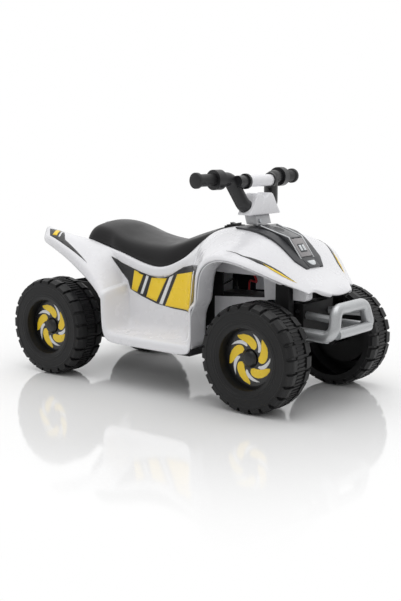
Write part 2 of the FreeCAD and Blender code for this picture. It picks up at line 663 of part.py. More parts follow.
def make_rear_axle():
    """Live rear axle with a keyed seat for each wheel, its nuts and its plain bearings."""
    span = "wheel_plane + wheel_width / 2 - rim_depth - nut_pocket_depth"
    seat_start = "wheel_plane - wheel_width / 2 + fit_gap"
    axle, _ = turned("rear_axle", [
        ("0", f"-({span} + axle_tail)"), ("axle_radius", f"-({span} + axle_tail)"),
        ("axle_radius", f"-({span})"),
        ("hub_bore_radius", f"-({span})"), ("hub_bore_radius", f"-({seat_start})"),
        ("axle_radius", f"-({seat_start})"), ("axle_radius", seat_start), ("hub_bore_radius", seat_start),
        ("hub_bore_radius", span), ("axle_radius", span), ("axle_radius", f"{span} + axle_tail"),
        ("0", f"{span} + axle_tail"),
    ])
    axle.Placement = Placement(Vector(S.rear_axle_x, 0, S.axle_z), Rotation(AXIS_Z, AXIS_Y))
    piece(axle, "rear_axle")
    nuts = []
    bushes = []
    for side in SIDES.values():
        out = AXIS_Y * side
        nuts.append(axle_nut(Vector(S.rear_axle_x, side * (NUT_SEAT + S.fit_gap), S.axle_z), out))
        start = S.axle_boss_end - S.bush_length
        centre = Vector(S.rear_axle_x, 0, S.axle_z)
        sleeve = Part.makeCylinder(S.axle_radius + S.bush_wall, S.bush_length, centre + out * start, out)
        collar = Part.makeCylinder(S.axle_boss_radius, INNER_FACE - S.fit_gap - S.axle_boss_end,
                                   centre + out * S.axle_boss_end, out)
        bore = Part.makeCylinder(S.axle_radius + S.running_gap, S.wheelbase, centre, out)
        bushes.append(sleeve.fuse(collar).cut(bore).removeSplitter())
    shaped("rear_nuts", Part.makeCompound(nuts))
    shaped("rear_bushes", Part.makeCompound(bushes))


def axle_nut(seat, out):
    """Hexagonal nut on an axle's end, from its seat outwards."""
    corners = []
    for step in range(7):
        angle = math.radians(60 * step)
        corners.append(seat + Vector(math.cos(angle), 0, math.sin(angle)) * S.nut_radius)
    nut = Part.Face(Part.makePolygon(corners)).extrude(out * S.nut_length)
    return nut.cut(Part.makeCylinder(S.axle_radius, S.nut_length, seat, out))


def make_knuckles():
    """Kingpin, stub axle and steering arm of each front wheel, with its nut."""
    boss_low = S.beam_bottom - S.fit_gap
    foot = S.axle_z - S.knuckle_foot
    for name, side in SIDES.items():
        pivot = Vector(S.front_axle_x, side * S.kingpin_y, 0)
        out = AXIS_Y * side
        pin = pivot - Vector(S.arm_length, 0, 0)
        solids = [
            cylinder(f"kingpin_{name}", "kingpin_radius", "beam_top - axle_z + kingpin_head",
                     pivot + AXIS_Z * S.axle_z, AXIS_Z),
            cylinder(f"knuckle_post_{name}", "knuckle_radius", f"{boss_low - foot}",
                     pivot + AXIS_Z * foot, AXIS_Z),
            cylinder(f"stub_{name}", "axle_radius",
                     "wheel_plane + wheel_width / 2 - rim_depth - nut_pocket_depth + axle_tail - kingpin_y",
                     pivot + AXIS_Z * S.axle_z, out),
            block(f"arm_{name}", "arm_length", "arm_width", "arm_thickness",
                  pin + Vector(0, -S.arm_width / 2, foot)),
            cylinder(f"arm_end_{name}", "arm_width / 2", "arm_thickness", pin + AXIS_Z * foot, AXIS_Z),
            cylinder(f"arm_pin_{name}", "pin_radius", "rod_thickness + 2 * fit_gap + kingpin_head / 2",
                     pin + AXIS_Z * foot, AXIS_Z * -1),
        ]
        piece(joined(f"knuckle_{name}", solids), f"knuckle_{name}")
        seat = Vector(S.front_axle_x, side * (NUT_SEAT + S.fit_gap), S.axle_z)
        shaped(f"nut_front_{name}", axle_nut(seat, out))


def rod_level():
    """Height of the tie rod's top face."""
    return S.axle_z - S.knuckle_foot - S.fit_gap


def crank_pin():
    """Where the crank's pin crosses the tie rod."""
    crank = STEER_POINT - STEER_AXIS * S.crank_drop
    return crank - Vector(math.cos(RAKE), 0, math.sin(RAKE)) * S.arm_length


def make_tie_rod():
    """Flat bar between the steering arms, with a tab for the column's crank."""
    top = rod_level()
    low = top - S.rod_thickness
    x = S.front_axle_x - S.arm_length
    pin = crank_pin()
    tab_x = pin.x + (pin.z - (low + top) / 2) * math.tan(RAKE)
    half = S.rod_width / 2
    bar = Part.makeBox(S.rod_width, 2 * S.kingpin_y, S.rod_thickness, Vector(x - half, -S.kingpin_y, low))
    tongue = Part.makeBox(x - tab_x, 2 * S.rod_width, S.rod_thickness, Vector(tab_x, -S.rod_width, low))
    round_end = Part.makeCylinder(S.rod_width, S.rod_thickness, Vector(tab_x, 0, low))
    bar = bar.multiFuse([tongue, round_end])
    for side in SIDES.values():
        spot = Vector(x, side * S.kingpin_y, low)
        bar = bar.fuse(Part.makeCylinder(half, S.rod_thickness, spot))
        bar = bar.cut(Part.makeCylinder(S.pin_radius + S.running_gap, S.rod_thickness, spot))
    hole = Part.makeCylinder(S.pin_radius + S.crank_play, S.rod_thickness, Vector(tab_x, 0, low))
    shaped("tie_rod", one_solid(bar.cut(hole).removeSplitter()))


def make_column():
    """Bent steel rod from the stem down to the crank, with its two plain bearings."""
    top = STEER_POINT + STEER_AXIS * S.column_top
    bottom = STEER_POINT - STEER_AXIS * S.crank_drop
    pin = crank_pin()
    tip_z = rod_level() - S.rod_thickness - S.crank_tail
    tip = pin - STEER_AXIS * ((pin.z - tip_z) / math.cos(RAKE))
    rod = tube_along([top, bottom, pin, tip], S.crank_bend, S.pin_radius)
    stiff = Part.makeCylinder(S.column_radius, S.column_top + S.crank_drop - S.column_foot,
                              bottom + STEER_AXIS * S.column_foot, STEER_AXIS)
    shaped("steering_column", one_solid(rod.fuse(stiff).removeSplitter()))
    bore = Part.makeCylinder(S.column_radius + S.running_gap, S.wheelbase,
                             STEER_POINT - STEER_AXIS * S.wheelbase, STEER_AXIS)
    bushes = (("upper", S.upper_bush_z, S.upper_bush_length, S.upper_flange_rise),
              ("lower", S.deck_bottom, S.lower_bush_length, S.lower_bush_length))
    for name, height, length, rise in bushes:
        base = Vector(column_x(height), 0, height)
        sleeve = Part.makeCylinder(S.column_radius + S.bush_wall, length, base, STEER_AXIS)
        flange = Part.makeCylinder(S.column_radius + 2 * S.bush_wall, S.bush_flange,
                                   base + STEER_AXIS * rise, STEER_AXIS)
        shaped(f"column_bush_{name}", one_solid(sleeve.fuse(flange).cut(bore).removeSplitter()))


def bar_points(side):
    """Bends of one half of the handlebar, from the clamp to the collar."""
    grip_y = S.grip_end_y - S.elbow_y
    share = (S.collar_y + S.collar_length - S.elbow_y) / grip_y
    end_x = S.elbow_x + (S.grip_end_x - S.elbow_x) * share
    return [
        (S.bar_foot_x, side * S.bar_foot_y, S.bar_foot_z), (S.bar_foot_x, side * S.bar_knee_y, S.bar_foot_z),
        (S.elbow_x, side * S.elbow_y, S.elbow_z), (end_x, side * (S.collar_y + S.collar_length), S.elbow_z),
    ]


def handle_frame(side):
    """Start of the straight handle at the elbow and its unit direction outwards."""
    start = Vector(S.elbow_x, side * S.elbow_y, S.elbow_z)
    return start, (Vector(S.grip_end_x, side * S.grip_end_y, S.elbow_z) - start).normalize()


def make_handlebar():
    """Two bent bars with collars, their grips, and the crossbar with a ring at each end."""
    rings = []
    for name, side in SIDES.items():
        start, out = handle_frame(side)
        slant = abs(out.y)
        collar_start = start + out * ((S.collar_y - S.elbow_y) / slant)
        bar = tube_along(bar_points(side), S.bar_bend, S.bar_radius)
        collar = Part.makeCylinder(S.collar_radius, S.collar_length / slant, collar_start, out)
        ring_end = S.crossbar_half + S.ring_length
        stub = Part.makeCylinder(S.crossbar_radius, S.elbow_y - ring_end,
                                 Vector(S.crossbar_x, side * ring_end, S.crossbar_z), AXIS_Y * side)
        bar = bar.multiFuse([collar, stub])
        if name == "right":
            bar = bar.cut(Part.makeCylinder(S.button_radius + S.running_gap, S.collar_radius + S.button_proud,
                                            button_centre(), AXIS_X * -1))
        shaped(f"bar_{name}", one_solid(bar.removeSplitter()))
        grip_start = collar_start + out * (S.collar_length / slant)
        length = (S.grip_end_y - S.collar_y - S.collar_length) / slant
        grip = Part.makeCylinder(S.grip_radius, length, grip_start, out)
        flange = Part.makeCylinder(S.grip_flange_radius, S.grip_flange_length,
                                   grip_start + out * (length - S.grip_flange_length), out)
        shaped(f"grip_{name}", one_solid(grip.fuse(flange).removeSplitter()))
        rings.append(Part.makeCylinder(S.ring_radius, S.ring_length,
                                       Vector(S.crossbar_x, side * S.crossbar_half, S.crossbar_z), AXIS_Y * side))
    shaped("crossbar_rings", Part.makeCompound(rings))
    piece(cylinder("crossbar", "crossbar_radius", "2 * crossbar_half",
                   Vector(S.crossbar_x, -S.crossbar_half, S.crossbar_z), AXIS_Y), "crossbar")


def button_centre():
    """Middle of the right collar, on the axis of the thumb button."""
    start, out = handle_frame(SIDES["right"])
    return start + out * ((S.collar_y + S.collar_length / 2 - S.elbow_y) / abs(out.y))


def make_button():
    """Thumb button on the rider's side of the right collar, with a domed end."""
    start = button_centre() - AXIS_X * (S.collar_radius + S.button_proud)
    button = Part.makeCylinder(S.button_radius, S.button_length, start, AXIS_X)
    rim = [edge for edge in button.Edges if edge.BoundBox.XMax < start.x + S.fit_gap]
    shaped("throttle_button", button.makeFillet(S.button_round, rim))


def make_clamp():
    """White clamp cover over the bars, the grey stem below it and the stem's screw."""
    rear_x = S.clamp_front_x - S.clamp_depth
    left = [
        (rear_x, S.clamp_base_half, S.clamp_base_z),
        (rear_x, S.clamp_base_half, S.clamp_base_z + S.clamp_crown),
        (rear_x, S.clamp_top_half, S.clamp_top_z - S.clamp_crown),
        (rear_x, S.clamp_top_half / 2, S.clamp_top_z),
    ]
    cover = prism(left + [(x, -y, z) for x, y, z in reversed(left)], S.clamp_depth, AXIS_X)
    rod = Part.makeCylinder(S.column_radius, S.wheelbase,
                            STEER_POINT - STEER_AXIS * S.wheelbase / 2, STEER_AXIS)
    for side in SIDES.values():
        cover = cover.cut(tube_along(bar_points(side), S.bar_bend, S.bar_radius + S.running_gap))
    shaped("clamp_cover", largest(cover.cut(rod)))
    ahead = Vector(math.cos(RAKE), 0, math.sin(RAKE))
    stem = Part.makeBox(S.stem_rear + S.stem_front, S.stem_width, 2 * S.clamp_depth,
                        Vector(-S.stem_rear, -S.stem_width / 2, -S.clamp_depth))
    stem.Placement = Placement(STEER_POINT, Rotation(AXIS_Y, -S.steer_rake))
    cover_space = Part.makeBox(S.wheelbase, S.wheelbase, S.wheelbase,
                               Vector(0, -S.wheelbase / 2, S.clamp_base_z))
    foot_space = Part.makeBox(S.wheelbase, S.wheelbase, S.stem_foot_z, Vector(0, -S.wheelbase / 2, 0))
    screw_seat = STEER_POINT + ahead * S.stem_front - STEER_AXIS * S.stem_screw_drop + AXIS_Y * S.stem_screw_y
    screw = screw_at(screw_seat, ahead, S.stem_screw_radius, S.stem_screw_length)
    shaped("stem_block", one_solid(stem.cut(cover_space).cut(foot_space).cut(rod).cut(screw)))
    shaped("stem_screw", screw)


def screw_at(seat, out, head_radius, length):
    """Screw whose head stands on its seat and whose shank goes in behind it."""
    head = Part.makeCylinder(head_radius, S.screw_head, seat, out)
    return head.fuse(Part.makeCylinder(S.screw_shank, length, seat - out * length, out)).removeSplitter()


def make_tray():
    """Black tray below the body: stepped floor, walls, side sills and bosses for the rear axle."""
    body = doc.addObject("PartDesign::Body", "chassis_tray")
    pad(body, outline(body, "XZ_Plane", [
        ("tray_rear_x", "tray_rear_bottom"), ("tray_step_x", "tray_rear_bottom"),
        ("tray_step_x + tray_bottom - tray_rear_bottom", "tray_bottom"), ("tray_front_x", "tray_bottom"),
        ("tray_front_x", "tray_top"), ("tray_rise_x", "tray_top"),
        ("tray_rise_x - (tray_rear_top - tray_top) / 2", "tray_rear_top"), ("tray_rear_x", "tray_rear_top"),
    ]), "2 * tray_half_width")
    axle = ("rear_axle_x", "axle_z")
    pad(body, ring(body, "XZ_Plane", axle, "axle_boss_radius"), "2 * axle_boss_end")
    pad(body, outline(body, "XZ_Plane", [
        ("sill_rear_x", "tray_bottom"), ("sill_front_x", "tray_bottom"),
        ("sill_front_x", "floor_bottom"), ("sill_rear_x", "floor_bottom"),
    ]), "2 * sill_half_width")
    pocket(body, outline(body, "XZ_Plane", [
        ("tray_rear_x + tray_wall", "tray_rear_bottom + tray_wall"),
        ("tray_step_x", "tray_rear_bottom + tray_wall"),
        ("tray_step_x + tray_bottom - tray_rear_bottom", "tray_bottom + tray_wall"),
        ("tray_front_x - tray_wall", "tray_bottom + tray_wall"),
        ("tray_front_x - tray_wall", "2 * tray_rear_top"),
        ("tray_rear_x + tray_wall", "2 * tray_rear_top"),
    ]), "2 * (tray_half_width - tray_wall)")
    pocket(body, ring(body, "XZ_Plane", axle, "axle_radius + bush_wall"), "3 * axle_boss_end")
    for place in ("screw_rear_x", "screw_front_x"):
        pocket(body, ring(body, "XZ_Plane", (place, "screw_z"), "screw_shank"), "3 * tray_half_width")
    pocket(body, ring(body, "YZ_Plane", ("socket_y", "socket_z"), "socket_radius - bush_wall"), "3 * wheelbase")
    piece(body, "chassis_tray")


def make_beam():
    """Black front beam: kingpin bosses, deck round the column, posts and the block behind the bumper."""
    solids = [
        block("beam_bar", "beam_front_x - beam_rear_x", "2 * beam_half", "beam_top - beam_bottom",
              Vector(S.beam_rear_x, -S.beam_half, S.beam_bottom)),
        block("beam_deck", "beam_rear_x - tray_front_x", "2 * tray_half_width", "deck_thickness",
              Vector(S.tray_front_x, -S.tray_half_width, S.deck_bottom)),
        block("beam_nose", "nose_block_x - beam_front_x", "2 * nose_block_half", "nose_block_top - beam_bottom",
              Vector(S.beam_front_x, -S.nose_block_half, S.beam_bottom)),
    ]
    bores = []
    for name, side in SIDES.items():
        near = S.tray_half_width + S.wall + 2 * S.fit_gap
        low_y = near if side > 0 else -near - S.post_width
        solids.append(block(f"beam_post_{name}", "post_front_x - post_rear_x", "post_width",
                            "post_top - beam_bottom", Vector(S.post_rear_x, low_y, S.beam_bottom)))
        pivot = Vector(S.front_axle_x, side * S.kingpin_y, S.beam_bottom)
        solids.append(cylinder(f"boss_{name}", "boss_radius", "beam_top - beam_bottom", pivot, AXIS_Z))
        bores.append(cylinder(f"bore_{name}", "kingpin_radius + running_gap", "beam_top",
                              pivot - AXIS_Z, AXIS_Z))
        screw_mouth = Vector(S.bumper_screw_x, side * S.nose_block_half, S.bumper_screw_z)
        bores.append(cylinder(f"bumper_screw_bore_{name}", "screw_shank", "screw_length",
                              screw_mouth, AXIS_Y * -side))
    bores.append(cylinder("column_bore", "column_radius + bush_wall", "wheelbase",
                          STEER_POINT - STEER_AXIS * S.wheelbase, STEER_AXIS))
    piece(cut("front_axle_beam", joined("beam_solids", solids), joined("beam_bores", bores)), "front_axle_beam")


def make_bumper():
    """Silver hoop on two low rails, with a crosspiece and two upper stays."""
    x = S.bumper_front - S.bumper_radius
    top_x = x - S.hoop_lean
    left = [(S.post_front_x, S.rail_y, S.rail_z), (x, S.hoop_base_y, S.hoop_base_z),
            (top_x, S.hoop_top_y, S.hoop_top_z)]
    hoop = tube_along(left + [(x, -y, z) for x, y, z in reversed(left)], S.bumper_bend, S.bumper_radius)
    reach = S.hoop_base_y - S.bumper_bend / 2
    bars = [Part.makeCylinder(S.crosspiece_radius, 2 * reach,
                              Vector(S.bumper_front - S.crosspiece_radius, -reach, S.crosspiece_z), AXIS_Y)]
    share = (S.upper_rail_z - S.hoop_base_z) / (S.hoop_top_z - S.hoop_base_z)
    end_y = S.hoop_base_y + (S.hoop_top_y - S.hoop_base_y) * share
    for side in SIDES.values():
        start = Vector(S.nose_block_x, side * S.upper_rail_y, S.upper_rail_z)
        stay = Vector(x - S.hoop_lean * share, side * end_y, S.upper_rail_z) - start
        bars.append(Part.makeCylinder(S.upper_rail_radius, stay.Length, start, stay))
    beam = Part.makeBox(S.post_front_x, S.wheelbase, S.wheelbase, Vector(0, -S.wheelbase / 2, 0))
    nose = Part.makeBox(S.nose_block_x, 2 * S.nose_block_half, S.wheelbase, Vector(0, -S.nose_block_half, 0))
    shaped("bumper", one_solid(hoop.multiFuse(bars).cut(beam).cut(nose).removeSplitter()))


def make_drive():
    """Gearbox on the rear axle with its motor, closed in its case."""
    inner_wall = S.tray_half_width - S.tray_wall
    axle = Vector(S.rear_axle_x, inner_wall, S.axle_z)
    motor = Vector(S.motor_x, inner_wall, S.motor_z)
    inwards = AXIS_Y * -1
    big = Part.makeCylinder(S.gearbox_radius, S.gearbox_width, axle, inwards)
    small = Part.makeCylinder(S.motor_mount_radius, S.gearbox_width, motor, inwards)
    line = (motor - axle).normalize()
    across = Vector(line.z, 0, -line.x)
    web = prism([tuple(spot) for spot in (
        axle + across * S.gearbox_radius, axle - across * S.gearbox_radius,
        motor - across * S.motor_mount_radius, motor + across * S.motor_mount_radius)], S.gearbox_width, inwards)
    bore = Part.makeCylinder(S.axle_radius + S.fit_gap, S.wheelbase, axle + AXIS_Y * S.wheelbase / 2, inwards)
    shaped("gearbox_case", big.multiFuse([small, web]).cut(bore).removeSplitter())
    face = motor + inwards * S.gearbox_width
    can = cylinder("motor_can", "motor_radius", "motor_length", face, inwards)
    boss = cylinder("motor_boss", "motor_boss_radius", "motor_boss_length",
                    face + inwards * S.motor_length, inwards)
    piece(joined("drive_motor", [can, boss]), "drive_motor")


def make_battery():
    """Sealed battery on the tray's floor with two blade terminals."""
    floor = S.tray_bottom + S.tray_wall
    solids = [block("battery_case", "battery_length", "battery_width", "battery_height",
                    Vector(S.battery_rear_x, -S.battery_width / 2, floor))]
    for name, side in SIDES.items():
        tip = terminal_tip(side)
        corner = tip - Vector(S.terminal_length / 2, S.terminal_width / 2, S.terminal_height)
        solids.append(block(f"terminal_{name}", "terminal_length", "terminal_width", "terminal_height", corner))
    piece(joined("battery", solids), "battery")


def terminal_tip(side):
    """Middle of a battery terminal's upper end."""
    x = S.battery_rear_x + S.battery_length / 2 - side * S.battery_length / 3
    z = S.tray_bottom + S.tray_wall + S.battery_height + S.terminal_height
    return Vector(x, side * S.battery_width / 4, z)


def make_leads():
    """Red lead from the battery to the switch and black lead from the battery to the motor."""
    motor_end_y = S.tray_half_width - S.tray_wall - S.gearbox_width - S.motor_length - S.motor_boss_length
    motor_end = Vector(S.motor_x, motor_end_y, S.motor_z)
    start = AXIS_Z * (2 * S.lead_bend)
    red_end = Vector(S.switch_x, 0, S.switch_bottom)
    red_tip = terminal_tip(SIDES["right"])
    black_tip = terminal_tip(SIDES["left"])
    red = [red_tip, red_tip + start, *RED_ROUTE, red_end - start, red_end]
    black_way = [Vector(body_x(x), y, z) for x, y, z in BLACK_ROUTE]
    black = [black_tip, black_tip + start, *black_way, motor_end - AXIS_Y * (2 * S.lead_bend), motor_end]
    for name, route in (("lead_red", red), ("lead_black", black)):
        points = [tuple(spot) for spot in route]
        lead = tube_along(points, S.lead_bend, S.lead_radius)
        length = bent_wire(points, S.lead_bend).Length
        share = lead.Volume / (math.pi * S.lead_radius ** 2 * length)
        print(f"{name}: length {length:.0f} mm, bend radius {S.lead_bend:g} mm, volume share {share:.4f}")
        shaped(name, lead)


def make_switch():
    """Direction switch through the cowl: its bezel, and the rocker that tilts on a pin in it."""
    length = S.switch_length + 2 * S.switch_flange
    width = S.switch_width + 2 * S.switch_flange
    flange = Part.makeBox(length, width, S.switch_flange_top - S.switch_bottom,
                          Vector(S.switch_x - length / 2, -width / 2, S.switch_bottom))
    bezel = switch_box(0, S.switch_top - S.switch_bottom).fuse(flange.cut(under_bonnet(S.fit_gap, 0)))
    well_length = S.rocker_length + 2 * S.rocker_room
    well_width = S.rocker_width + 2 * S.fit_gap
    well = Part.makeBox(well_length, well_width, S.rocker_pocket,
                        Vector(S.switch_x - well_length / 2, -well_width / 2, S.switch_top - S.rocker_pocket))
    reach = S.rocker_width / 2 + S.rocker_pin_reach + S.fit_gap
    pivot = Vector(S.switch_x, 0, S.switch_top - S.rocker_drop)
    hole = Part.makeCylinder(S.rocker_pin_radius + S.running_gap, 2 * reach, pivot - AXIS_Y * reach, AXIS_Y)
    shaped("switch_bezel", one_solid(bezel.cut(well).cut(hole).removeSplitter()))
    body = doc.addObject("PartDesign::Body", "direction_rocker")
    rear = "switch_x - rocker_length / 2"
    front = "switch_x + rocker_length / 2"
    low = "switch_top - rocker_base"
    top = "switch_top + rocker_proud"
    pad(body, outline(body, "XZ_Plane", [
        (rear, low), (front, low), (front, top), ("switch_x + rocker_length / 6", f"{top} - 2 * rocker_dish"),
        ("switch_x - rocker_length / 6", f"{top} - 2 * rocker_dish"), (rear, top),
    ]), "rocker_width")
    pin = ring(body, "XZ_Plane", ("switch_x", "switch_top - rocker_drop"), "rocker_pin_radius")
    pad(body, pin, "rocker_width + 2 * rocker_pin_reach")
    piece(body, "direction_rocker")


def make_socket():
    """Charging inlet in the tray's rear wall, its flange outside."""
    socket, _ = turned("charge_socket", [
        ("socket_bore", "0 - bush_flange"), ("socket_radius", "0 - bush_flange"), ("socket_radius", "0"),
        ("socket_radius - bush_wall", "0"), ("socket_radius - bush_wall", "socket_depth"),
        ("0", "socket_depth"), ("0", "socket_depth - bush_flange"),
        ("socket_bore", "socket_depth - bush_flange"),
    ])
    socket.Placement = Placement(Vector(S.tray_rear_x, S.socket_y, S.socket_z), Rotation(AXIS_Z, AXIS_X))
    piece(socket, "charge_socket")


def make_screws():
    """Screws of the arch walls and of the bumper's block."""
    body_screws = []
    bumper_screws = []
    face = S.tray_half_width + S.fit_gap + S.wall
    for side in SIDES.values():
        out = AXIS_Y * side
        for x in (S.screw_rear_x, S.screw_front_x):
            body_screws.append(screw_at(Vector(x, side * face, S.screw_z), out, S.screw_radius, S.screw_length))
        seat = Vector(S.bumper_screw_x, side * S.nose_block_half, S.bumper_screw_z)
        bumper_screws.append(screw_at(seat, out, S.screw_radius, S.screw_length))
    shaped("body_screws", Part.makeCompound(body_screws))
    shaped("bumper_screws", Part.makeCompound(bumper_screws))


def check_and_write():
    """Refuse any object in error and any unsound shape, then write each piece as it stands on its tyres."""
    for item in doc.Objects:
        if "Invalid" in item.State or "Error" in item.State:
            raise ValueError(f"{item.Label} is {item.State}")
    os.makedirs("parts", exist_ok=True)
    ground = AXIS_Z * (S.wheel_radius - S.axle_z)
    for item in PIECES:
        if item.Shape.isNull() or not item.Shape.isValid():
            raise ValueError(f"{item.Label} has no sound shape")
        item.Shape.translated(ground).exportStep(f"parts/{item.Label}.step")
    print(len(PIECES), "pieces")


make_body()
make_bonnet()
make_seat()
make_console()
make_wheels()
make_rear_axle()
make_knuckles()
make_tie_rod()
make_column()
make_handlebar()
make_button()
make_clamp()
make_tray()
make_beam()
make_bumper()
make_drive()
make_battery()
make_leads()
make_switch()
make_socket()
make_screws()
doc.recompute()
check_and_write()
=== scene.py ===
"""Kids ride-on quad bike: smooth shells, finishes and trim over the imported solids.

Sizes are millimetres in the frame of the solids (+X forwards, +Y to the rider's left, +Z up) and
become metres where a mesh is made.
"""

from __future__ import annotations

import json
import logging
import math
from dataclasses import dataclass, field
from enum import Enum

import bmesh
import bpy
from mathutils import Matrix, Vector
from mathutils.bvhtree import BVHTree

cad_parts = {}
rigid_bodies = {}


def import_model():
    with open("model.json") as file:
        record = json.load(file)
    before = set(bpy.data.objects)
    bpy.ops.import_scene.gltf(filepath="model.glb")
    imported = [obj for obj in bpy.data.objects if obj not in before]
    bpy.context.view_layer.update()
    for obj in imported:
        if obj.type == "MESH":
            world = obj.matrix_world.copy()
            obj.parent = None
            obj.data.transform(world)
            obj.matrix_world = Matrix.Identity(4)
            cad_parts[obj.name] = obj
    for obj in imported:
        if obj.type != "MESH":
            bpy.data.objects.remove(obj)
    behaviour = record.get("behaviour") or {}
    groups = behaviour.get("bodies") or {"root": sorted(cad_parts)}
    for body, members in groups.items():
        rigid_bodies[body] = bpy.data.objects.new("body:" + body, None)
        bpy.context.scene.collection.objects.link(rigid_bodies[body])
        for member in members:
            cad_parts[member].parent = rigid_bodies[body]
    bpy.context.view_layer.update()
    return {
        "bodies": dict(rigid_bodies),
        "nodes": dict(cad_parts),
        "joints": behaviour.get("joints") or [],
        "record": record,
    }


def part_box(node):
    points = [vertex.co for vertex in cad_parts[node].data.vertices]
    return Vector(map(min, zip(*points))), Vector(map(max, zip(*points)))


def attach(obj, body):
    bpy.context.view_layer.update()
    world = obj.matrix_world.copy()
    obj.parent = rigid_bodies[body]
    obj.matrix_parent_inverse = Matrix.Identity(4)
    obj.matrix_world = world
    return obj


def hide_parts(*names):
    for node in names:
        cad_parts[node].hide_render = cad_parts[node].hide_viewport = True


LOG = logging.getLogger("quad_bike")
MM = 0.001
SIDES = {"left": 1, "right": -1}
WHITE = "#FFFFFF"
# Detail and roughness of the noise in the fine relief and in the mottle.
RELIEF_DETAIL = 2.0
MOTTLE_DETAIL = 4.0
MOTTLE_ROUGHNESS = 0.6
# Values between which most of the mottle lies.
MOTTLE_LOW = 0.3
MOTTLE_HIGH = 0.7
# Scale of the drawing lines, which run across the bike as its axles do.
DRAWN_SCALE = (1.0, 0.08, 1.0)
# Distance in millimetres under which two corners count as one, and length under which an edge is dropped.
DOUBLE = 0.02
SLIVER = 0.01
# Bevel profile of a true round.
ROUND = 0.5

# A place in space, and a place in a plane or a pair of ends.
Point = tuple[float, float, float]
Flat = tuple[float, float]


def linear(colour: str) -> tuple[float, float, float, float]:
    """Turn an sRGB hex colour into linear light.

    Args:
        colour: Six hex digits after a hash sign.

    Returns:
        Linear red, green, blue and full alpha.
    """
    shares = [int(colour[start:start + 2], 16) / 255 for start in (1, 3, 5)]
    # The standard curve: straight near black and a power above.
    red, green, blue = (c / 12.92 if c <= 0.04045 else ((c + 0.055) / 1.055) ** 2.4 for c in shares)
    return (red, green, blue, 1.0)


def add(tree: bpy.types.NodeTree, kind: str, inputs: dict | None = None,
        **settings: object) -> bpy.types.Node:
    """Add one node with its settings and links.

    Args:
        tree: Node tree that takes the node.
        kind: Node type.
        inputs: Socket name or index to a value, or to the output socket that feeds it.
        settings: Properties of the node.

    Returns:
        The new node.
    """
    node = tree.nodes.new(kind)
    for name, value in settings.items():
        setattr(node, name, value)
    for key, value in (inputs or {}).items():
        if isinstance(value, bpy.types.NodeSocket):
            tree.links.new(value, node.inputs[key])
        else:
            node.inputs[key].default_value = value
    return node


def lerp(a: float, b: float, share: float) -> float:
    """Value a share of the way from a to b."""
    return a + (b - a) * share


def along(path: list[Flat], x: float) -> float:
    """Height of an open line at x, by straight runs between its points.

    Args:
        path: Points in rising x.
        x: Place asked for; beyond the ends the end's height holds.

    Returns:
        The height at x.
    """
    if x <= path[0][0]:
        return path[0][1]
    for (x0, z0), (x1, z1) in zip(path, path[1:]):
        if x <= x1:
            return lerp(z0, z1, (x - x0) / (x1 - x0))
    return path[-1][1]


def spread(path: list[Vector], shares: tuple[float, ...]) -> list[Vector]:
    """Points at shares of the length of a line.

    Args:
        path: Corners of the line.
        shares: Places from 0 at its start to 1 at its end.

    Returns:
        One point for each share.
    """
    lengths = [(b - a).length for a, b in zip(path, path[1:])]
    total = sum(lengths)
    points = []
    for share in shares:
        left = share * total
        for (a, b), length in zip(zip(path, path[1:]), lengths):
            if left <= length or b is path[-1]:
                points.append(a.lerp(b, min(left / length, 1.0)))
                break
            left -= length
    return points


class Surface(Enum):
    """How a surface was made, which sets the pattern of its fine relief."""

    MOULDED = "polished mould"
    GRAINED = "etched mould"
    DRAWN = "drawn or turned metal"
    FLAKED = "metal flake paint"


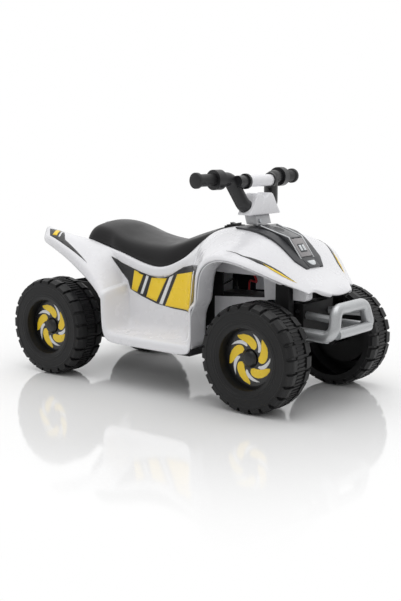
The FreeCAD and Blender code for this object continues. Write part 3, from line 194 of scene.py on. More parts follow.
@dataclass(frozen=True)
class Finish:
    """One material: what it is and how its surface was made.

    Attributes:
        name: Material in plain words.
        colour: Main colour.
        shade: Second colour, in the mottle or from flake to flake.
        roughness: Middle value of the roughness.
        grain_mm: Size of the fine relief or of the flakes.
        relief_mm: Height of the fine relief.
        surface: How the surface was made.
        metallic: Share of metal in its sheen.
        ior: Index of refraction.
        coat: Strength of the clear coat.
        mottle_mm: Size of the soft patches.
        spread: How much the patches add to the roughness or take from it.
    """

    name: str
    colour: str
    shade: str
    roughness: float
    grain_mm: float
    relief_mm: float
    surface: Surface = Surface.MOULDED
    metallic: float = 0.0
    ior: float = 1.5
    coat: float = 0.0
    mottle_mm: float = 35.0
    spread: float = 0.06

    def relief(self, tree: bpy.types.NodeTree, place: bpy.types.NodeSocket) -> bpy.types.NodeSocket:
        """Height pattern of the surface.

        Args:
            tree: Material's node tree.
            place: Object coordinates.

        Returns:
            Socket with the height, from 0 to 1.
        """
        scale = 1 / (self.grain_mm * MM)
        if self.surface is Surface.GRAINED:
            cells = add(tree, "ShaderNodeTexVoronoi", {
                "Vector": place, "Scale": scale,
            }, feature="SMOOTH_F1")
            return cells.outputs["Distance"]
        if self.surface is Surface.DRAWN:
            place = add(tree, "ShaderNodeMapping", {"Vector": place, "Scale": DRAWN_SCALE}).outputs[0]
        noise = add(tree, "ShaderNodeTexNoise", {"Vector": place, "Scale": scale, "Detail": RELIEF_DETAIL})
        return noise.outputs["Fac"]

    def material(self) -> bpy.types.Material:
        """Build the material once and return it each time.

        Returns:
            The material of this finish.
        """
        known = bpy.data.materials.get(self.name)
        if known:
            return known
        material = bpy.data.materials.new(self.name)
        material.use_nodes = True
        tree = material.node_tree
        tree.nodes.clear()
        place = add(tree, "ShaderNodeTexCoord").outputs["Object"]
        mottle = add(tree, "ShaderNodeTexNoise", {
            "Vector": place, "Scale": 1 / (self.mottle_mm * MM), "Detail": MOTTLE_DETAIL,
            "Roughness": MOTTLE_ROUGHNESS,
        }).outputs["Fac"]
        tone = mottle
        if self.surface is Surface.FLAKED:
            flakes = add(tree, "ShaderNodeTexVoronoi", {"Vector": place, "Scale": 1 / (self.grain_mm * MM)})
            tone = add(tree, "ShaderNodeSeparateColor", {0: flakes.outputs["Color"]}).outputs[0]
        colour = add(tree, "ShaderNodeMix", {
            0: tone, 6: linear(self.colour), 7: linear(self.shade),
        }, data_type="RGBA")
        rough = add(tree, "ShaderNodeMapRange", {
            "Value": mottle, "From Min": MOTTLE_LOW, "From Max": MOTTLE_HIGH,
            "To Min": self.roughness - self.spread, "To Max": self.roughness + self.spread,
        })
        bump = add(tree, "ShaderNodeBump", {
            "Height": self.relief(tree, place), "Distance": self.relief_mm * MM,
        })
        shader = add(tree, "ShaderNodeBsdfPrincipled", {
            "Base Color": colour.outputs[2], "Roughness": rough.outputs[0], "Metallic": self.metallic,
            "IOR": self.ior, "Coat Weight": self.coat, "Normal": bump.outputs[0],
        })
        add(tree, "ShaderNodeOutputMaterial", {"Surface": shader.outputs[0]})
        return material


# Gloss polypropylene from a polished mould: bright soft highlights with a faint ripple.
WHITE_SHELL = Finish("gloss_white_polypropylene", "#EDEDF0", "#EAEAED", 0.26, 12.0, 0.012, coat=0.15)
# Satin polypropylene from an etched mould: dark with a wide, dull sheen over fine pebbles.
SEAT_BLACK = Finish("grained_black_polypropylene", "#141314", "#1B1A1B", 0.4, 1.6, 0.08, Surface.GRAINED,
                    ior=1.42)
# Satin charcoal ABS: a little lighter than the seat, with a tighter sheen.
CHARCOAL = Finish("satin_charcoal_abs", "#343538", "#3C3D40", 0.38, 1.4, 0.05)
# Grey metal flake lacquer on ABS: the tone sparkles from flake to flake.
GREY_LACQUER = Finish("grey_flake_lacquer_on_abs", "#B2B3B6", "#C2C3C5", 0.34, 0.8, 0.02, Surface.FLAKED,
                      metallic=0.35, coat=0.3)
# Dark grey metal flake lacquer on ABS: nearly black, with soft bright glints.
DARK_LACQUER = Finish("dark_flake_lacquer_on_abs", "#3B3C3E", "#4C4D50", 0.3, 0.8, 0.02, Surface.FLAKED,
                      metallic=0.3, coat=0.4)
# Mid-grey lacquered ABS on the lamp's face: satin, darker than the bright bars round it.
STONE_GREY = Finish("stone_grey_lacquer_on_abs", "#8D8A8B", "#9A9798", 0.36, 0.8, 0.02, Surface.FLAKED,
                    metallic=0.2, coat=0.2)
# Clear-coated pale polycarbonate: cool, smooth and bright.
LENS = Finish("pale_polycarbonate", "#DDE1E3", "#CFD4D7", 0.12, 6.0, 0.01, ior=1.58, coat=0.6, spread=0.03)
# Recycled black polyethylene: matt, slightly uneven.
MATT_BLACK = Finish("matt_black_polyethylene", "#0E0E0F", "#151516", 0.6, 1.8, 0.08, Surface.GRAINED,
                    ior=1.4)
# Silver flake paint on polypropylene: bright grey with a fine sparkle.
SILVER_PAINT = Finish("silver_flake_paint", "#B4B6B8", "#C6C8C9", 0.34, 0.7, 0.02, Surface.FLAKED,
                      metallic=0.62, coat=0.15)
# Dark grey ABS battery case: dull with a light texture.
BATTERY_CASE = Finish("dark_grey_abs", "#3A3A3C", "#444446", 0.5, 1.5, 0.05)
# Soft PVC insulation: warm red with an oily sheen.
RED_PVC = Finish("red_pvc_insulation", "#B5141A", "#C11E22", 0.36, 2.0, 0.02)
# Soft PVC insulation in black.
BLACK_PVC = Finish("black_pvc_insulation", "#161617", "#1E1E1F", 0.38, 2.0, 0.02)
# Glass-filled nylon: grey and dry, with a fibrous mottle.
GREY_NYLON = Finish("grey_glass_filled_nylon", "#555659", "#626366", 0.55, 1.2, 0.06)
# Zinc-plated steel: bluish bright with fine drawing lines.
ZINC_STEEL = Finish("zinc_plated_steel", "#C3C6C9", "#AEB2B6", 0.3, 0.6, 0.01, Surface.DRAWN, metallic=1.0)
# Unfilled acetal: creamy and slightly waxy.
ACETAL = Finish("natural_acetal", "#E4E1D6", "#DBD7CA", 0.4, 3.0, 0.02)
# Satin black polypropylene tube: smooth with long, soft highlights.
BAR_BLACK = Finish("satin_black_polypropylene", "#1A1A1C", "#212123", 0.36, 2.4, 0.03)
# Moulded soft rubber: darker and duller than the bars, with a fine pebble.
GRIP_RUBBER = Finish("moulded_black_rubber", "#171718", "#1F1F20", 0.52, 1.1, 0.06, Surface.GRAINED)
# Blow-moulded polyethylene wheel: smooth black with a waxy sheen.
WHEEL_BLACK = Finish("waxy_black_polyethylene", "#101011", "#171718", 0.46, 3.0, 0.05, ior=1.42)
# Printed vinyl film, black ground.
VINYL_BLACK = Finish("black_vinyl_film", "#151516", "#1B1B1D", 0.3, 5.0, 0.01, coat=0.3)
# Printed vinyl film, warm yellow.
VINYL_YELLOW = Finish("yellow_vinyl_film", "#FFDB30", "#FDD424", 0.3, 5.0, 0.01, coat=0.2)
# Printed vinyl film, cool white.
VINYL_WHITE = Finish("white_vinyl_film", "#EFEFEF", "#E6E7E8", 0.3, 5.0, 0.01, coat=0.3)
# Domed ABS hub cap: deep black and shinier than the wheel.
CAP_BLACK = Finish("gloss_black_abs", "#08080A", "#0D0D0F", 0.34, 4.0, 0.01, coat=0.12)

SLOT_FINISHES = {
    "body_white": WHITE_SHELL, "seat_black": SEAT_BLACK, "console_charcoal": CHARCOAL,
    "block_grey": GREY_LACQUER, "lens_pale": LENS, "chassis_black": MATT_BLACK,
    "bumper_silver": SILVER_PAINT, "battery_case": BATTERY_CASE, "lead_red": RED_PVC,
    "lead_black": BLACK_PVC, "gearbox_grey": GREY_NYLON, "bright_steel": ZINC_STEEL,
    "bush_natural": ACETAL, "bar_black": BAR_BLACK, "grip_rubber": GRIP_RUBBER,
    "wheel_black": WHEEL_BLACK, "trim_face": VINYL_BLACK, "cap_black": CAP_BLACK,
}


def shade(mesh: bpy.types.Mesh, smooth: bool) -> None:
    """Shade all faces of a mesh smooth or flat."""
    mesh.polygons.foreach_set("use_smooth", [smooth] * len(mesh.polygons))


def mesh_object(name: str, points: list[Vector], faces: list[tuple[int, ...]],
                finish: Finish) -> bpy.types.Object:
    """Make a smooth mesh object from points in millimetres.

    Args:
        name: Piece name.
        points: Corners in millimetres.
        faces: Corner numbers of each face.
        finish: Finish of the whole piece.

    Returns:
        The linked object, at the origin.
    """
    mesh = bpy.data.meshes.new(name)
    mesh.from_pydata([tuple(Vector(p) * MM) for p in points], [], faces)
    mesh.materials.append(finish.material())
    shade(mesh, True)
    item = bpy.data.objects.new(name, mesh)
    bpy.context.scene.collection.objects.link(item)
    return item


def tidied(item: bpy.types.Object, outward: bool = True) -> bpy.types.Object:
    """Merge doubles and point the faces of a mesh outwards.

    Args:
        item: Object to tidy.
        outward: False leaves the faces as they are.

    Returns:
        The same object.
    """
    work = bmesh.new()
    work.from_mesh(item.data)
    bmesh.ops.remove_doubles(work, verts=work.verts, dist=DOUBLE * MM)
    bmesh.ops.dissolve_degenerate(work, edges=work.edges, dist=SLIVER * MM)
    if outward:
        bmesh.ops.recalc_face_normals(work, faces=work.faces)
    work.to_mesh(item.data)
    work.free()
    return item


def settled(item: bpy.types.Object) -> bpy.types.Object:
    """Turn an object's modifiers into plain mesh.

    Args:
        item: Object with live modifiers.

    Returns:
        The same object with the finished mesh and no modifiers.
    """
    view = bpy.context.evaluated_depsgraph_get()
    finished = bpy.data.meshes.new_from_object(item.evaluated_get(view), depsgraph=view)
    item.modifiers.clear()
    old = item.data
    item.data = finished
    bpy.data.meshes.remove(old)
    finished.name = item.name
    return item


def smoothed(item: bpy.types.Object, levels: int, wall: float = 0.0) -> bpy.types.Object:
    """Give a cage its smooth surface and, where asked, a wall on the inner side.

    Args:
        item: Cage object.
        levels: Subdivision steps.
        wall: Wall thickness in millimetres.

    Returns:
        The same object with a plain finished mesh.
    """
    soft = item.modifiers.new("smooth", "SUBSURF")
    soft.levels = levels
    soft.render_levels = levels
    if wall:
        thick = item.modifiers.new("wall", "SOLIDIFY")
        thick.thickness = wall * MM
        thick.offset = -1.0
    return settled(item)


def place_piece(item: bpy.types.Object, body: str, slot: str, *stands_for: str) -> None:
    """Hand a finished piece to the frame.

    Args:
        item: Finished piece.
        body: Body it moves with.
        slot: Material slot of the record; not used.
        stands_for: Nodes that it shows in place of.
    """
    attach(item, body)
    if stands_for:
        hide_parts(*stands_for)
    LOG.info("%s rides %s, %d faces", item.name, body, len(item.data.polygons))


def finished(name: str, work: bmesh.types.BMesh, finish: Finish, crease: float = 40.0) -> bpy.types.Object:
    """Turn a working mesh into an object with smooth faces and sharp creases.

    Args:
        name: Piece name.
        work: Working mesh in metres, freed here.
        finish: Finish of the whole piece.
        crease: Angle between faces, in degrees, from which an edge shows sharp.

    Returns:
        The linked object, at the origin.
    """
    bmesh.ops.recalc_face_normals(work, faces=work.faces)
    item = mesh_object(name, [], [], finish)
    work.to_mesh(item.data)
    work.free()
    shade(item.data, True)
    item.data.polygons.foreach_set("material_index", [0] * len(item.data.polygons))
    item.data.set_sharp_from_angle(angle=math.radians(crease))
    return item


def rounded(work: bmesh.types.BMesh, width: float, limit: float = 32.0, steps: int = 3) -> None:
    """Round the sharp edges of a working mesh.

    Args:
        work: Working mesh in metres.
        width: Width of the round in millimetres.
        limit: Angle between faces, in degrees, from which an edge is rounded.
        steps: Faces across the round.
    """
    sharp = [e for e in work.edges if e.is_manifold and e.calc_face_angle() > math.radians(limit)]
    bmesh.ops.bevel(work, geom=sharp, offset=width * MM, segments=steps, profile=ROUND, affect="EDGES",
                    clamp_overlap=True)


def pulled(work: bmesh.types.BMesh, faces: list[bmesh.types.BMFace], way: Vector) -> None:
    """Extrude faces of a working mesh.

    Args:
        work: Working mesh in metres.
        faces: Faces to pull out.
        way: Way to their new place in millimetres.
    """
    slab = bmesh.ops.extrude_face_region(work, geom=faces)
    moved = [v for v in slab["geom"] if isinstance(v, bmesh.types.BMVert)]
    bmesh.ops.translate(work, verts=moved, vec=way * MM)


def moulded(name: str, outline: list[Vector], depth: Vector, width: float,
            finish: Finish) -> bpy.types.Object:
    """Extrude a flat outline and round its edges.

    Args:
        name: Piece name.
        outline: Corners of one end in millimetres.
        depth: Way to the other end in millimetres.
        width: Width of the rounds in millimetres.
        finish: Finish of the piece.

    Returns:
        The finished piece.
    """
    work = bmesh.new()
    base = work.faces.new([work.verts.new(p * MM) for p in outline])
    pulled(work, [base], depth)
    rounded(work, width)
    return finished(name, work, finish)


def rod(name: str, path: list[Vector], radius: float, finish: Finish, sides: int = 10,
        crease: float = 50.0) -> bpy.types.Object:
    """Round bar along a bent line.

    Args:
        name: Piece name.
        path: Corners of its middle line in millimetres.
        radius: Radius in millimetres.
        finish: Finish of the bar.
        sides: Faces round the bar.
        crease: Angle between faces, in degrees, from which an edge shows sharp.

    Returns:
        The finished bar, closed at both ends.
    """
    points: list[Vector] = []
    for index, spot in enumerate(path):
        ahead = (path[min(index + 1, len(path) - 1)] - path[max(index - 1, 0)]).normalized()
        across = ahead.cross(Vector((0, 1, 0))).normalized()
        up = ahead.cross(across)
        for turn in (math.tau * n / sides for n in range(sides)):
            points.append(spot + (across * math.cos(turn) + up * math.sin(turn)) * radius)
    faces: list[tuple[int, ...]] = []
    for step in range(len(path) - 1):
        for n in range(sides):
            a, b = step * sides + n, step * sides + (n + 1) % sides
            faces.append((a, b, b + sides, a + sides))
    faces.append(tuple(range(sides)))
    faces.append(tuple(range(len(points) - sides, len(points))))
    item = tidied(mesh_object(name, points, faces, finish))
    item.data.set_sharp_from_angle(angle=math.radians(crease))
    return item


def grid_faces(stations: int, rows: int, start: int = 0) -> list[tuple[int, ...]]:
    """List the faces of a grid of stations, each with its rows of corners.

    Args:
        stations: Number of stations.
        rows: Corners in each station.
        start: Number of the first corner.

    Returns:
        Corner numbers of each face.
    """
    faces = []
    for station in range(stations - 1):
        for row in range(rows - 1):
            corner = start + station * rows + row
            faces.append((corner, corner + 1, corner + rows + 1, corner + rows))
    return faces


@dataclass
class BodySkin:
    """White moulded shell: tail wings, fenders, footwells, leg guards, cowl, bonnet and nose."""

    wall: float = 3.0
    levels: int = 2
    # Outer face of the side panel, and the band under the seat that stands out from it.
    spine: float = 77.3
    band_inner: float = 71.0
    band_out: float = 82.0
    band_height: float = 13.0
    band_round: float = 1.0
    # Top edge of the band under the seat, as place along the body and height.
    rim: list[Flat] = field(default_factory=lambda: [
        (-232, 262), (-152, 246), (-60, 219), (-36, 216), (-12, 221), (24, 242), (43.7, 264),
    ])
    # Inner edge, crease and lip of the rear fender, from the tail wing forwards.
    fender: list[tuple[Point, Point, Point]] = field(default_factory=lambda: [
        ((-331, 85, 282), (-315, 110.5, 267), (-313, 112.5, 256)),
        ((-300, 80, 273.5), (-298, 115, 265), (-297, 116, 252)),
        ((-262, 74, 266.5), (-262, 120, 252.5), (-262, 121.5, 239)),
        ((-228, 71, 262), (-228, 126, 240.5), (-228, 127.5, 226)),
        ((-190, 76, 254), (-190, 134, 222.5), (-190, 136, 208)),
        ((-158, 79, 247.5), (-157, 141, 204.5), (-156, 143, 191)),
    ])
    # Ways to the tucked inner row and to the crown, and the crown's place between inner edge and crease.
    fender_tuck: Point = (0, 7, 3)
    fender_crown: Point = (0, 2, 5)
    crown_share: float = 0.42
    fender_shares: tuple[float, ...] = (0.0, 0.05, 0.1, 0.17, 0.26, 0.38, 0.56, 0.8, 1.0)
    # Ledge and rear wall of the footwell: place and foot of the side panel, then the rows down to the lip.
    rear_wall: list[tuple[float, float, list[Point]]] = field(default_factory=lambda: [
        (-134, 205, [(-134, 78, 198), (-133, 86, 194), (-132, 104, 190), (-130, 130, 185),
                     (-128, 146.5, 180), (-127, 149.5, 170)]),
        (-127, 196, [(-127, 77.4, 186), (-126.5, 83, 183.5), (-126, 102, 181), (-125, 132, 178.5),
                     (-124, 148, 175), (-124.5, 151, 166)]),
        (-119, 190, [(-118, 77.4, 183.5), (-117.5, 82, 181), (-117, 102, 178.5), (-116, 132, 176),
                     (-115.5, 148, 172.5), (-121, 151.5, 163)]),
        (-113, 170, [(-114, 77.6, 146), (-113.5, 82, 122), (-114, 100, 114), (-115, 133, 112),
                     (-115, 148.5, 110), (-120, 151.5, 104)]),
        (-102, 160, [(-102, 77.4, 148), (-103, 80.5, 116), (-104, 95, 100.5), (-105, 135, 99),
                     (-105, 149.5, 96), (-108, 151.5, 83)]),
    ])
    # Footwell: place of each station's inner rows, and how much further forwards its outer rows stand.
    tub: list[Flat] = field(default_factory=lambda: [(-86, 0), (-45, 8), (-5, 60)])
    # Rows of the footwell: share of the station's reach, place across and height.
    tub_rows: list[Point] = field(default_factory=lambda: [
        (0, 77.3, 150), (0, 79.5, 116), (0.2, 90, 98.5), (0.8, 136, 97), (1, 149.5, 94.5), (1, 151, 80),
    ])
    # Leg guard: foot, low, middle, step, high, arch and crown stations, each from its inner row to its lip.
    guard: list[list[Point]] = field(default_factory=lambda: [
        [(25, 70, 241), (25, 78, 243), (25, 79.5, 229), (24, 77, 224), (24, 77, 195), (23, 77.5, 150),
         (24, 80, 116), (36, 91, 99.5), (78, 135, 97.5), (90, 149.5, 94.5), (91, 151.5, 80)],
        [(38, 57, 254), (39, 68, 258), (37, 78, 244), (36, 77.5, 237), (36, 77.5, 200), (36, 78.5, 150),
         (38, 81, 120), (48, 92, 107), (87, 135, 105), (99, 149, 102), (105, 153, 92)],
        [(44, 38, 270), (51, 54, 275), (50, 74, 260), (48, 80, 247), (46, 82, 208), (45, 83.5, 168),
         (48, 88, 158), (57, 97, 160), (84, 130, 163), (95, 147, 165), (100, 151.5, 165)],
        [(49, 18, 281), (57, 44, 283), (58, 68, 270), (56, 79, 256), (54, 84.5, 228), (55, 89.5, 202),
         (59, 96, 188), (68, 107, 182), (93, 132, 178), (108, 147, 176), (113, 151.5, 175)],
        [(54, 0, 290), (62, 36, 290), (64, 62, 279), (62, 78, 264), (61, 87, 247), (62, 95, 233),
         (66, 104, 223), (75, 115, 217), (97, 134, 214), (109, 146.5, 213), (114, 151, 212)],
        [(76, 0, 297.5), (77, 36, 296.5), (79, 64, 286), (81, 85, 273), (83, 98, 261), (86, 107, 253),
         (91, 116, 248), (98, 126, 245.5), (107, 138, 244.5), (115, 148, 244), (121, 152, 239)],
        [(112, 0, 304), (114, 40, 303), (117, 75, 296), (120, 98, 288), (124, 115, 281), (127, 126, 277),
         (131, 135, 274), (136, 143, 271.5), (142, 150.5, 268.5), (148, 156.5, 265), (152, 159, 259)],
    ])
    # Place along the bonnet, then its centre, shoulder, crest and edge across, and the turn of its lip.
    bonnet: list[tuple[float, Flat, Flat, Flat, Flat, Point]] = field(default_factory=lambda: [
        (188, (0, 299), (50, 295), (101, 283.5), (155, 264), (2, 3, -5)),
        (228, (0, 265), (46, 264.5), (88, 258), (131, 245), (2, 3, -5)),
        (258, (0, 234.5), (38, 234), (69, 231.5), (104, 225), (2, 2, -5)),
        (282, (0, 219.5), (30, 218.5), (54, 216), (80, 210.5), (3, 2, -3)),
        (290, (0, 215), (28, 214.5), (50, 212), (72, 205.5), (5, 0, -5)),
        (294, (0, 213), (26, 212.5), (42, 210.5), (56, 208), (1, -1, -3)),
        (304, (0, 206.5), (22, 206.5), (36, 205), (47, 203), (0, -2, -5)),
        (312, (0, 200), (18, 200.5), (30, 200.5), (39, 200), (0, -3, -4)),
        (316, (0, 193.5), (14, 194), (24, 195.5), (32, 197.5), (-4, -4, -2)),
    ])
    bonnet_shares: tuple[float, ...] = (0.0, 0.14, 0.28, 0.42, 0.55, 0.66, 0.76, 0.85, 0.93, 1.0)
    # Station that shows as a fold across the body, with its first row and its sharpness.
    cross_folds: dict[int, tuple[int, float]] = field(default_factory=lambda: {
        7: (5, 0.8), 8: (5, 0.8), 16: (8, 0.5), 17: (8, 0.5), 25: (8, 1.0),
    })
    # Row of the cage that shows as a fold, its first and last station and its sharpness.
    folds: list[tuple[int, int, int, float]] = field(default_factory=lambda: [
        (1, 5, 14, 0.6), (2, 5, 14, 0.85), (3, 5, 14, 0.7), (9, 0, 5, 0.6), (9, 10, 14, 0.5),
        (9, 14, 28, 0.55),
    ])

    def rim_height(self, x: float) -> float:
        """Height of the band's top edge under the seat."""
        return along(self.rim, x)

    def upper_rows(self, x: float, foot: float) -> list[Vector]:
        """Rows of the rim band and the side panel at one place along the body.

        Args:
            x: Place along the body.
            foot: Height where the panel's rows end.

        Returns:
            Tuck, band top, band foot, panel top and panel middle.
        """
        rim = self.rim_height(x)
        low = rim - self.band_height - self.band_round
        return [Vector((x, self.band_inner, rim - self.band_round)),
                Vector((x, self.band_out - self.band_round, rim)),
                Vector((x, self.band_out, rim - self.band_height + self.band_round)),
                Vector((x, self.spine, low)),
                Vector((x, self.spine, lerp(low, foot, 0.5)))]

    def fender_station(self, inner: Point, crease: Point, lip: Point) -> list[Vector]:
        """Rows across the rear fender, crowned between its inner edge and its crease.

        Args:
            inner: Point on the inner edge.
            crease: Point on the crease.
            lip: Point on the lip.

        Returns:
            All rows of the station.
        """
        start, end = Vector(inner), Vector(crease)
        crown = start.lerp(end, self.crown_share) + Vector(self.fender_crown)
        rows = spread([start, crown, end], self.fender_shares)
        return [start - Vector(self.fender_tuck), *rows, Vector(lip)]

    def rear_wall_station(self, x: float, foot: float, rows: list[Point]) -> list[Vector]:
        """Rows of the side panel, then those over the ledge or down the footwell's rear wall."""
        return [*self.upper_rows(x, foot), *(Vector(p) for p in rows)]

    def tub_station(self, x: float, reach: float) -> list[Vector]:
        """Rows down the side wall, over the footwell floor and round its lip.

        Args:
            x: Place of the inner rows.
            reach: How much further forwards the outer rows stand.

        Returns:
            All rows of the station.
        """
        rows = [Vector((x + reach * share, y, z)) for share, y, z in self.tub_rows]
        return [*self.upper_rows(x, rows[0].z), *rows]

    def guard_stations(self) -> list[list[Vector]]:
        """Stations of the leg guard, from the floor up and over into the bonnet."""
        return [[Vector(p) for p in rows] for rows in self.guard]

    def bonnet_station(self, x: float, *knots: Flat, lip: Point) -> list[Vector]:
        """Rows across the bonnet from its centre to the edge, and the turned-down lip.

        Args:
            x: Place along the bonnet.
            knots: Places across and heights, from the centre to the edge.
            lip: Way from the edge to the end of the lip.

        Returns:
            All rows of the station.
        """
        path = [Vector((x, y, z)) for y, z in knots]
        return [*spread(path, self.bonnet_shares), path[-1] + Vector(lip)]

    def bonnet_stations(self) -> list[list[Vector]]:
        """All stations across the bonnet, from behind the cowl to the nose."""
        return [self.bonnet_station(x, *knots, lip=lip) for x, *knots, lip in self.bonnet]

    def stations(self) -> list[list[Vector]]:
        """List all stations of the left half, from the tail wing to the nose.

        Returns:
            Stations, each with its rows from the middle of the bike to the lip.
        """
        return [*(self.fender_station(*rails) for rails in self.fender),
                *(self.rear_wall_station(*rows) for rows in self.rear_wall),
                *(self.tub_station(*place) for place in self.tub),
                *self.guard_stations(), *self.bonnet_stations()]

    def fold(self, start: tuple[int, int], end: tuple[int, int]) -> float:
        """Sharpness of the edge between two cage points.

        Args:
            start: Station and row of one end.
            end: Station and row of the other end.

        Returns:
            Sharpness, from 0 for a smooth edge to 1 for a crisp fold.
        """
        if start[0] == end[0]:
            first_row, sharpness = self.cross_folds.get(start[0], (0, 0.0))
            return sharpness if min(start[1], end[1]) >= first_row else 0.0
        low, high = sorted((start[0], end[0]))
        for row, first, last, sharpness in self.folds:
            if start[1] == end[1] == row and first <= low and high <= last:
                return sharpness
        return 0.0

    def build(self) -> bpy.types.Object:
        """Build the whole shell, both halves welded along the bonnet's middle.

        Returns:
            The finished shell.
        """
        stations = self.stations()
        rows = len(stations[0])
        left = [point for station in stations for point in station]
        right = [Vector((p.x, -p.y, p.z)) for p in left]
        faces = grid_faces(len(stations), rows)
        faces += [tuple(reversed(f)) for f in grid_faces(len(stations), rows, len(left))]
        skin = mesh_object("body_skin", left + right, faces, WHITE_SHELL)
        folds = skin.data.attributes.new("crease_edge", "FLOAT", "EDGE")
        for edge in skin.data.edges:
            ends = (divmod(n % len(left), rows) for n in edge.vertices)
            folds.data[edge.index].value = self.fold(*ends)
        return smoothed(tidied(skin, outward=False), self.levels, self.wall)


@dataclass
class InnerWalls:
    """Upright white panels behind the wheels, the tail panel and the arch walls, with painted shade in
    black inside.
    """

    thickness: float = 3.0
    # Angle in degrees under which neighbouring faces count as one.
    flat: float = 1.0
    # Outer face of each pair of panels across the body, and its outline along the body.
    spine: float = 75.5
    spine_outline: list[Flat] = field(default_factory=lambda: [
        (-230, 256), (-150, 240), (-124, 176), (-120, 96), (-128, 80), (-230, 214),
    ])
    arch: float = 56.0
    arch_outline: list[Flat] = field(default_factory=lambda: [
        (80, 112), (196, 112), (197, 180), (228, 184), (228, 252), (190, 274), (110, 284), (92, 270),
        (84, 222), (190, 222), (193, 184), (80, 176),
    ])
    # Black plate just inside each arch panel: painted shade for the dark inside seen through the window and
    # past the liner.
    painted_shade_plate: float = 52.5
    painted_shade_plate_outline: list[Flat] = field(default_factory=lambda: [
        (42, 112), (96, 112), (96, 268), (42, 262),
    ])
    # Least distance from the bike's middle, in metres, of a face that looks inwards and is painted black as
    # shade.
    painted_shade_reach: float = 0.01
    levels: int = 2
    # Height and place of the tail panel's rows, and how far it curves forwards at each place across.
    tail_rows: list[Flat] = field(default_factory=lambda: [
        (262, -226), (258, -231), (240, -233), (220, -232), (214, -228),
    ])
    tail_setback: dict[float, float] = field(default_factory=lambda: {77: 12, 74: 4, 62: 0.6, 30: 0, 0: 0})

    def panel(self, outline: list[Flat], y: float) -> bmesh.types.BMesh:
        """Upright panel along the body.

        Args:
            outline: Corners as (x, z).
            y: Outer face across the body.

        Returns:
            A working mesh with the panel's solid.
        """
        work = bmesh.new()
        ring = [work.verts.new(Vector((x, y, z)) * MM) for x, z in outline]
        for a, b in zip(ring, ring[1:] + ring[:1]):
            work.edges.new((a, b))
        bmesh.ops.triangle_fill(work, edges=work.edges[:], use_beauty=True)
        bmesh.ops.dissolve_limit(work, angle_limit=math.radians(self.flat), verts=work.verts,
                                 edges=work.edges)
        pulled(work, work.faces[:], Vector((0, -math.copysign(self.thickness, y), 0)))
        bmesh.ops.recalc_face_normals(work, faces=work.faces)
        return work

    def build(self) -> bpy.types.Object:
        """Build all the panels as one piece, white outside, with the inner faces and shade plates painted
        black as shade.

        Returns:
            The finished piece.
        """
        pairs = ((self.spine_outline, self.spine), (self.arch_outline, self.arch),
                 (self.painted_shade_plate_outline, self.painted_shade_plate))
        whole = bmesh.new()
        for side in SIDES.values():
            for outline, y in pairs:
                part = self.panel(outline, side * y)
                spare = bpy.data.meshes.new("panel")
                part.to_mesh(spare)
                part.free()
                whole.from_mesh(spare)
                bpy.data.meshes.remove(spare)
        item = mesh_object("inner_walls", [], [], WHITE_SHELL)
        whole.to_mesh(item.data)
        whole.free()
        item.data.materials.append(MATT_BLACK.material())
        for face in item.data.polygons:
            # The shade plates and the inward faces are painted black: painted shade for the dark inside of
            # the body.
            behind = abs(face.center.y) < (self.painted_shade_plate + DOUBLE) * MM
            face.material_index = int(behind or face.normal.y * face.center.y < -self.painted_shade_reach)
        return item

    def tail(self) -> bpy.types.Object:
        """Build the rounded panel that closes the spine behind the seat.

        Returns:
            The finished panel.
        """
        across = sorted({side * y for y in self.tail_setback for side in SIDES.values()})
        points = [Vector((x + self.tail_setback[abs(y)], y, z)) for y in across for z, x in self.tail_rows]
        panel = mesh_object("tail_panel", points, grid_faces(len(across), len(self.tail_rows)), WHITE_SHELL)
        return smoothed(tidied(panel), self.levels, self.thickness)


@dataclass
class ArchLiner:
    """Inner face of the front wheel arches, the brackets under the nose and the tray's sill ends."""

    wall: float = 2.5
    levels: int = 2
    # Two lower points of the liner's edge.
    toe: Point = (98.5, 152, 91)
    knee: Point = (95.5, 151.5, 164)
    # Above them it follows the shell's lip: from this station of the guard, and over so many of the bonnet.
    first_guard: int = 3
    bonnet_count: int = 3
    # Ways from the edge to the liner's rows.
    rows: list[Point] = field(default_factory=lambda: [
        (-1, -2, 0), (-1, -5, -0.5), (-1.5, -23, -1), (-2, -46, -1),
    ])
    bracket_y: float = 45.0
    bracket_width: float = 19.0
    bracket_round: float = 2.0
    bracket: list[Flat] = field(default_factory=lambda: [
        (257, 216), (287, 206), (287, 190), (282, 186), (257, 186),
    ])
    sill_inner: float = 62.0
    sill_width: float = 86.0
    sill_round: float = 1.5
    sill: list[Flat] = field(default_factory=lambda: [(64, 78), (94, 78), (103, 93), (64, 93)])

    def liner(self, name: str, side: int, skin: BodySkin) -> bpy.types.Object:
        """Strip that runs inwards from the arch's edge.

        Args:
            name: Side of the bike.
            side: 1 for the left of the bike, -1 for the right.
            skin: Shell whose edge it follows.

        Returns:
            The finished strip.
        """
        followed = (*skin.guard_stations()[self.first_guard:], *skin.bonnet_stations()[:self.bonnet_count])
        edge = [Vector(self.toe), Vector(self.knee), *(rows[-1] for rows in followed)]
        spots = [spot + Vector(way) for spot in edge for way in self.rows]
        points = [Vector((p.x, side * p.y, p.z)) for p in spots]
        faces = grid_faces(len(edge), len(self.rows))
        strip = mesh_object(f"arch_liner_{name}", points, faces, WHITE_SHELL)
        return smoothed(tidied(strip), self.levels, self.wall)

    def build(self, skin: BodySkin) -> None:
        """Build both liners, both brackets and both sill ends.

        Args:
            skin: Shell that carries them.
        """
        for name, side in SIDES.items():
            place_piece(self.liner(name, side, skin), "chassis", "body_white")
            outline = [Vector((x, side * self.bracket_y, z)) for x, z in self.bracket]
            across = Vector((0, side * self.bracket_width, 0))
            bracket = moulded(f"nose_bracket_{name}", outline, across, self.bracket_round, WHITE_SHELL)
            place_piece(bracket, "chassis", "body_white")
            outline = [Vector((x, side * self.sill_inner, z)) for x, z in self.sill]
            across = Vector((0, side * self.sill_width, 0))
            sill = moulded(f"sill_end_{name}", outline, across, self.sill_round, MATT_BLACK)
            place_piece(sill, "chassis", "chassis_black")


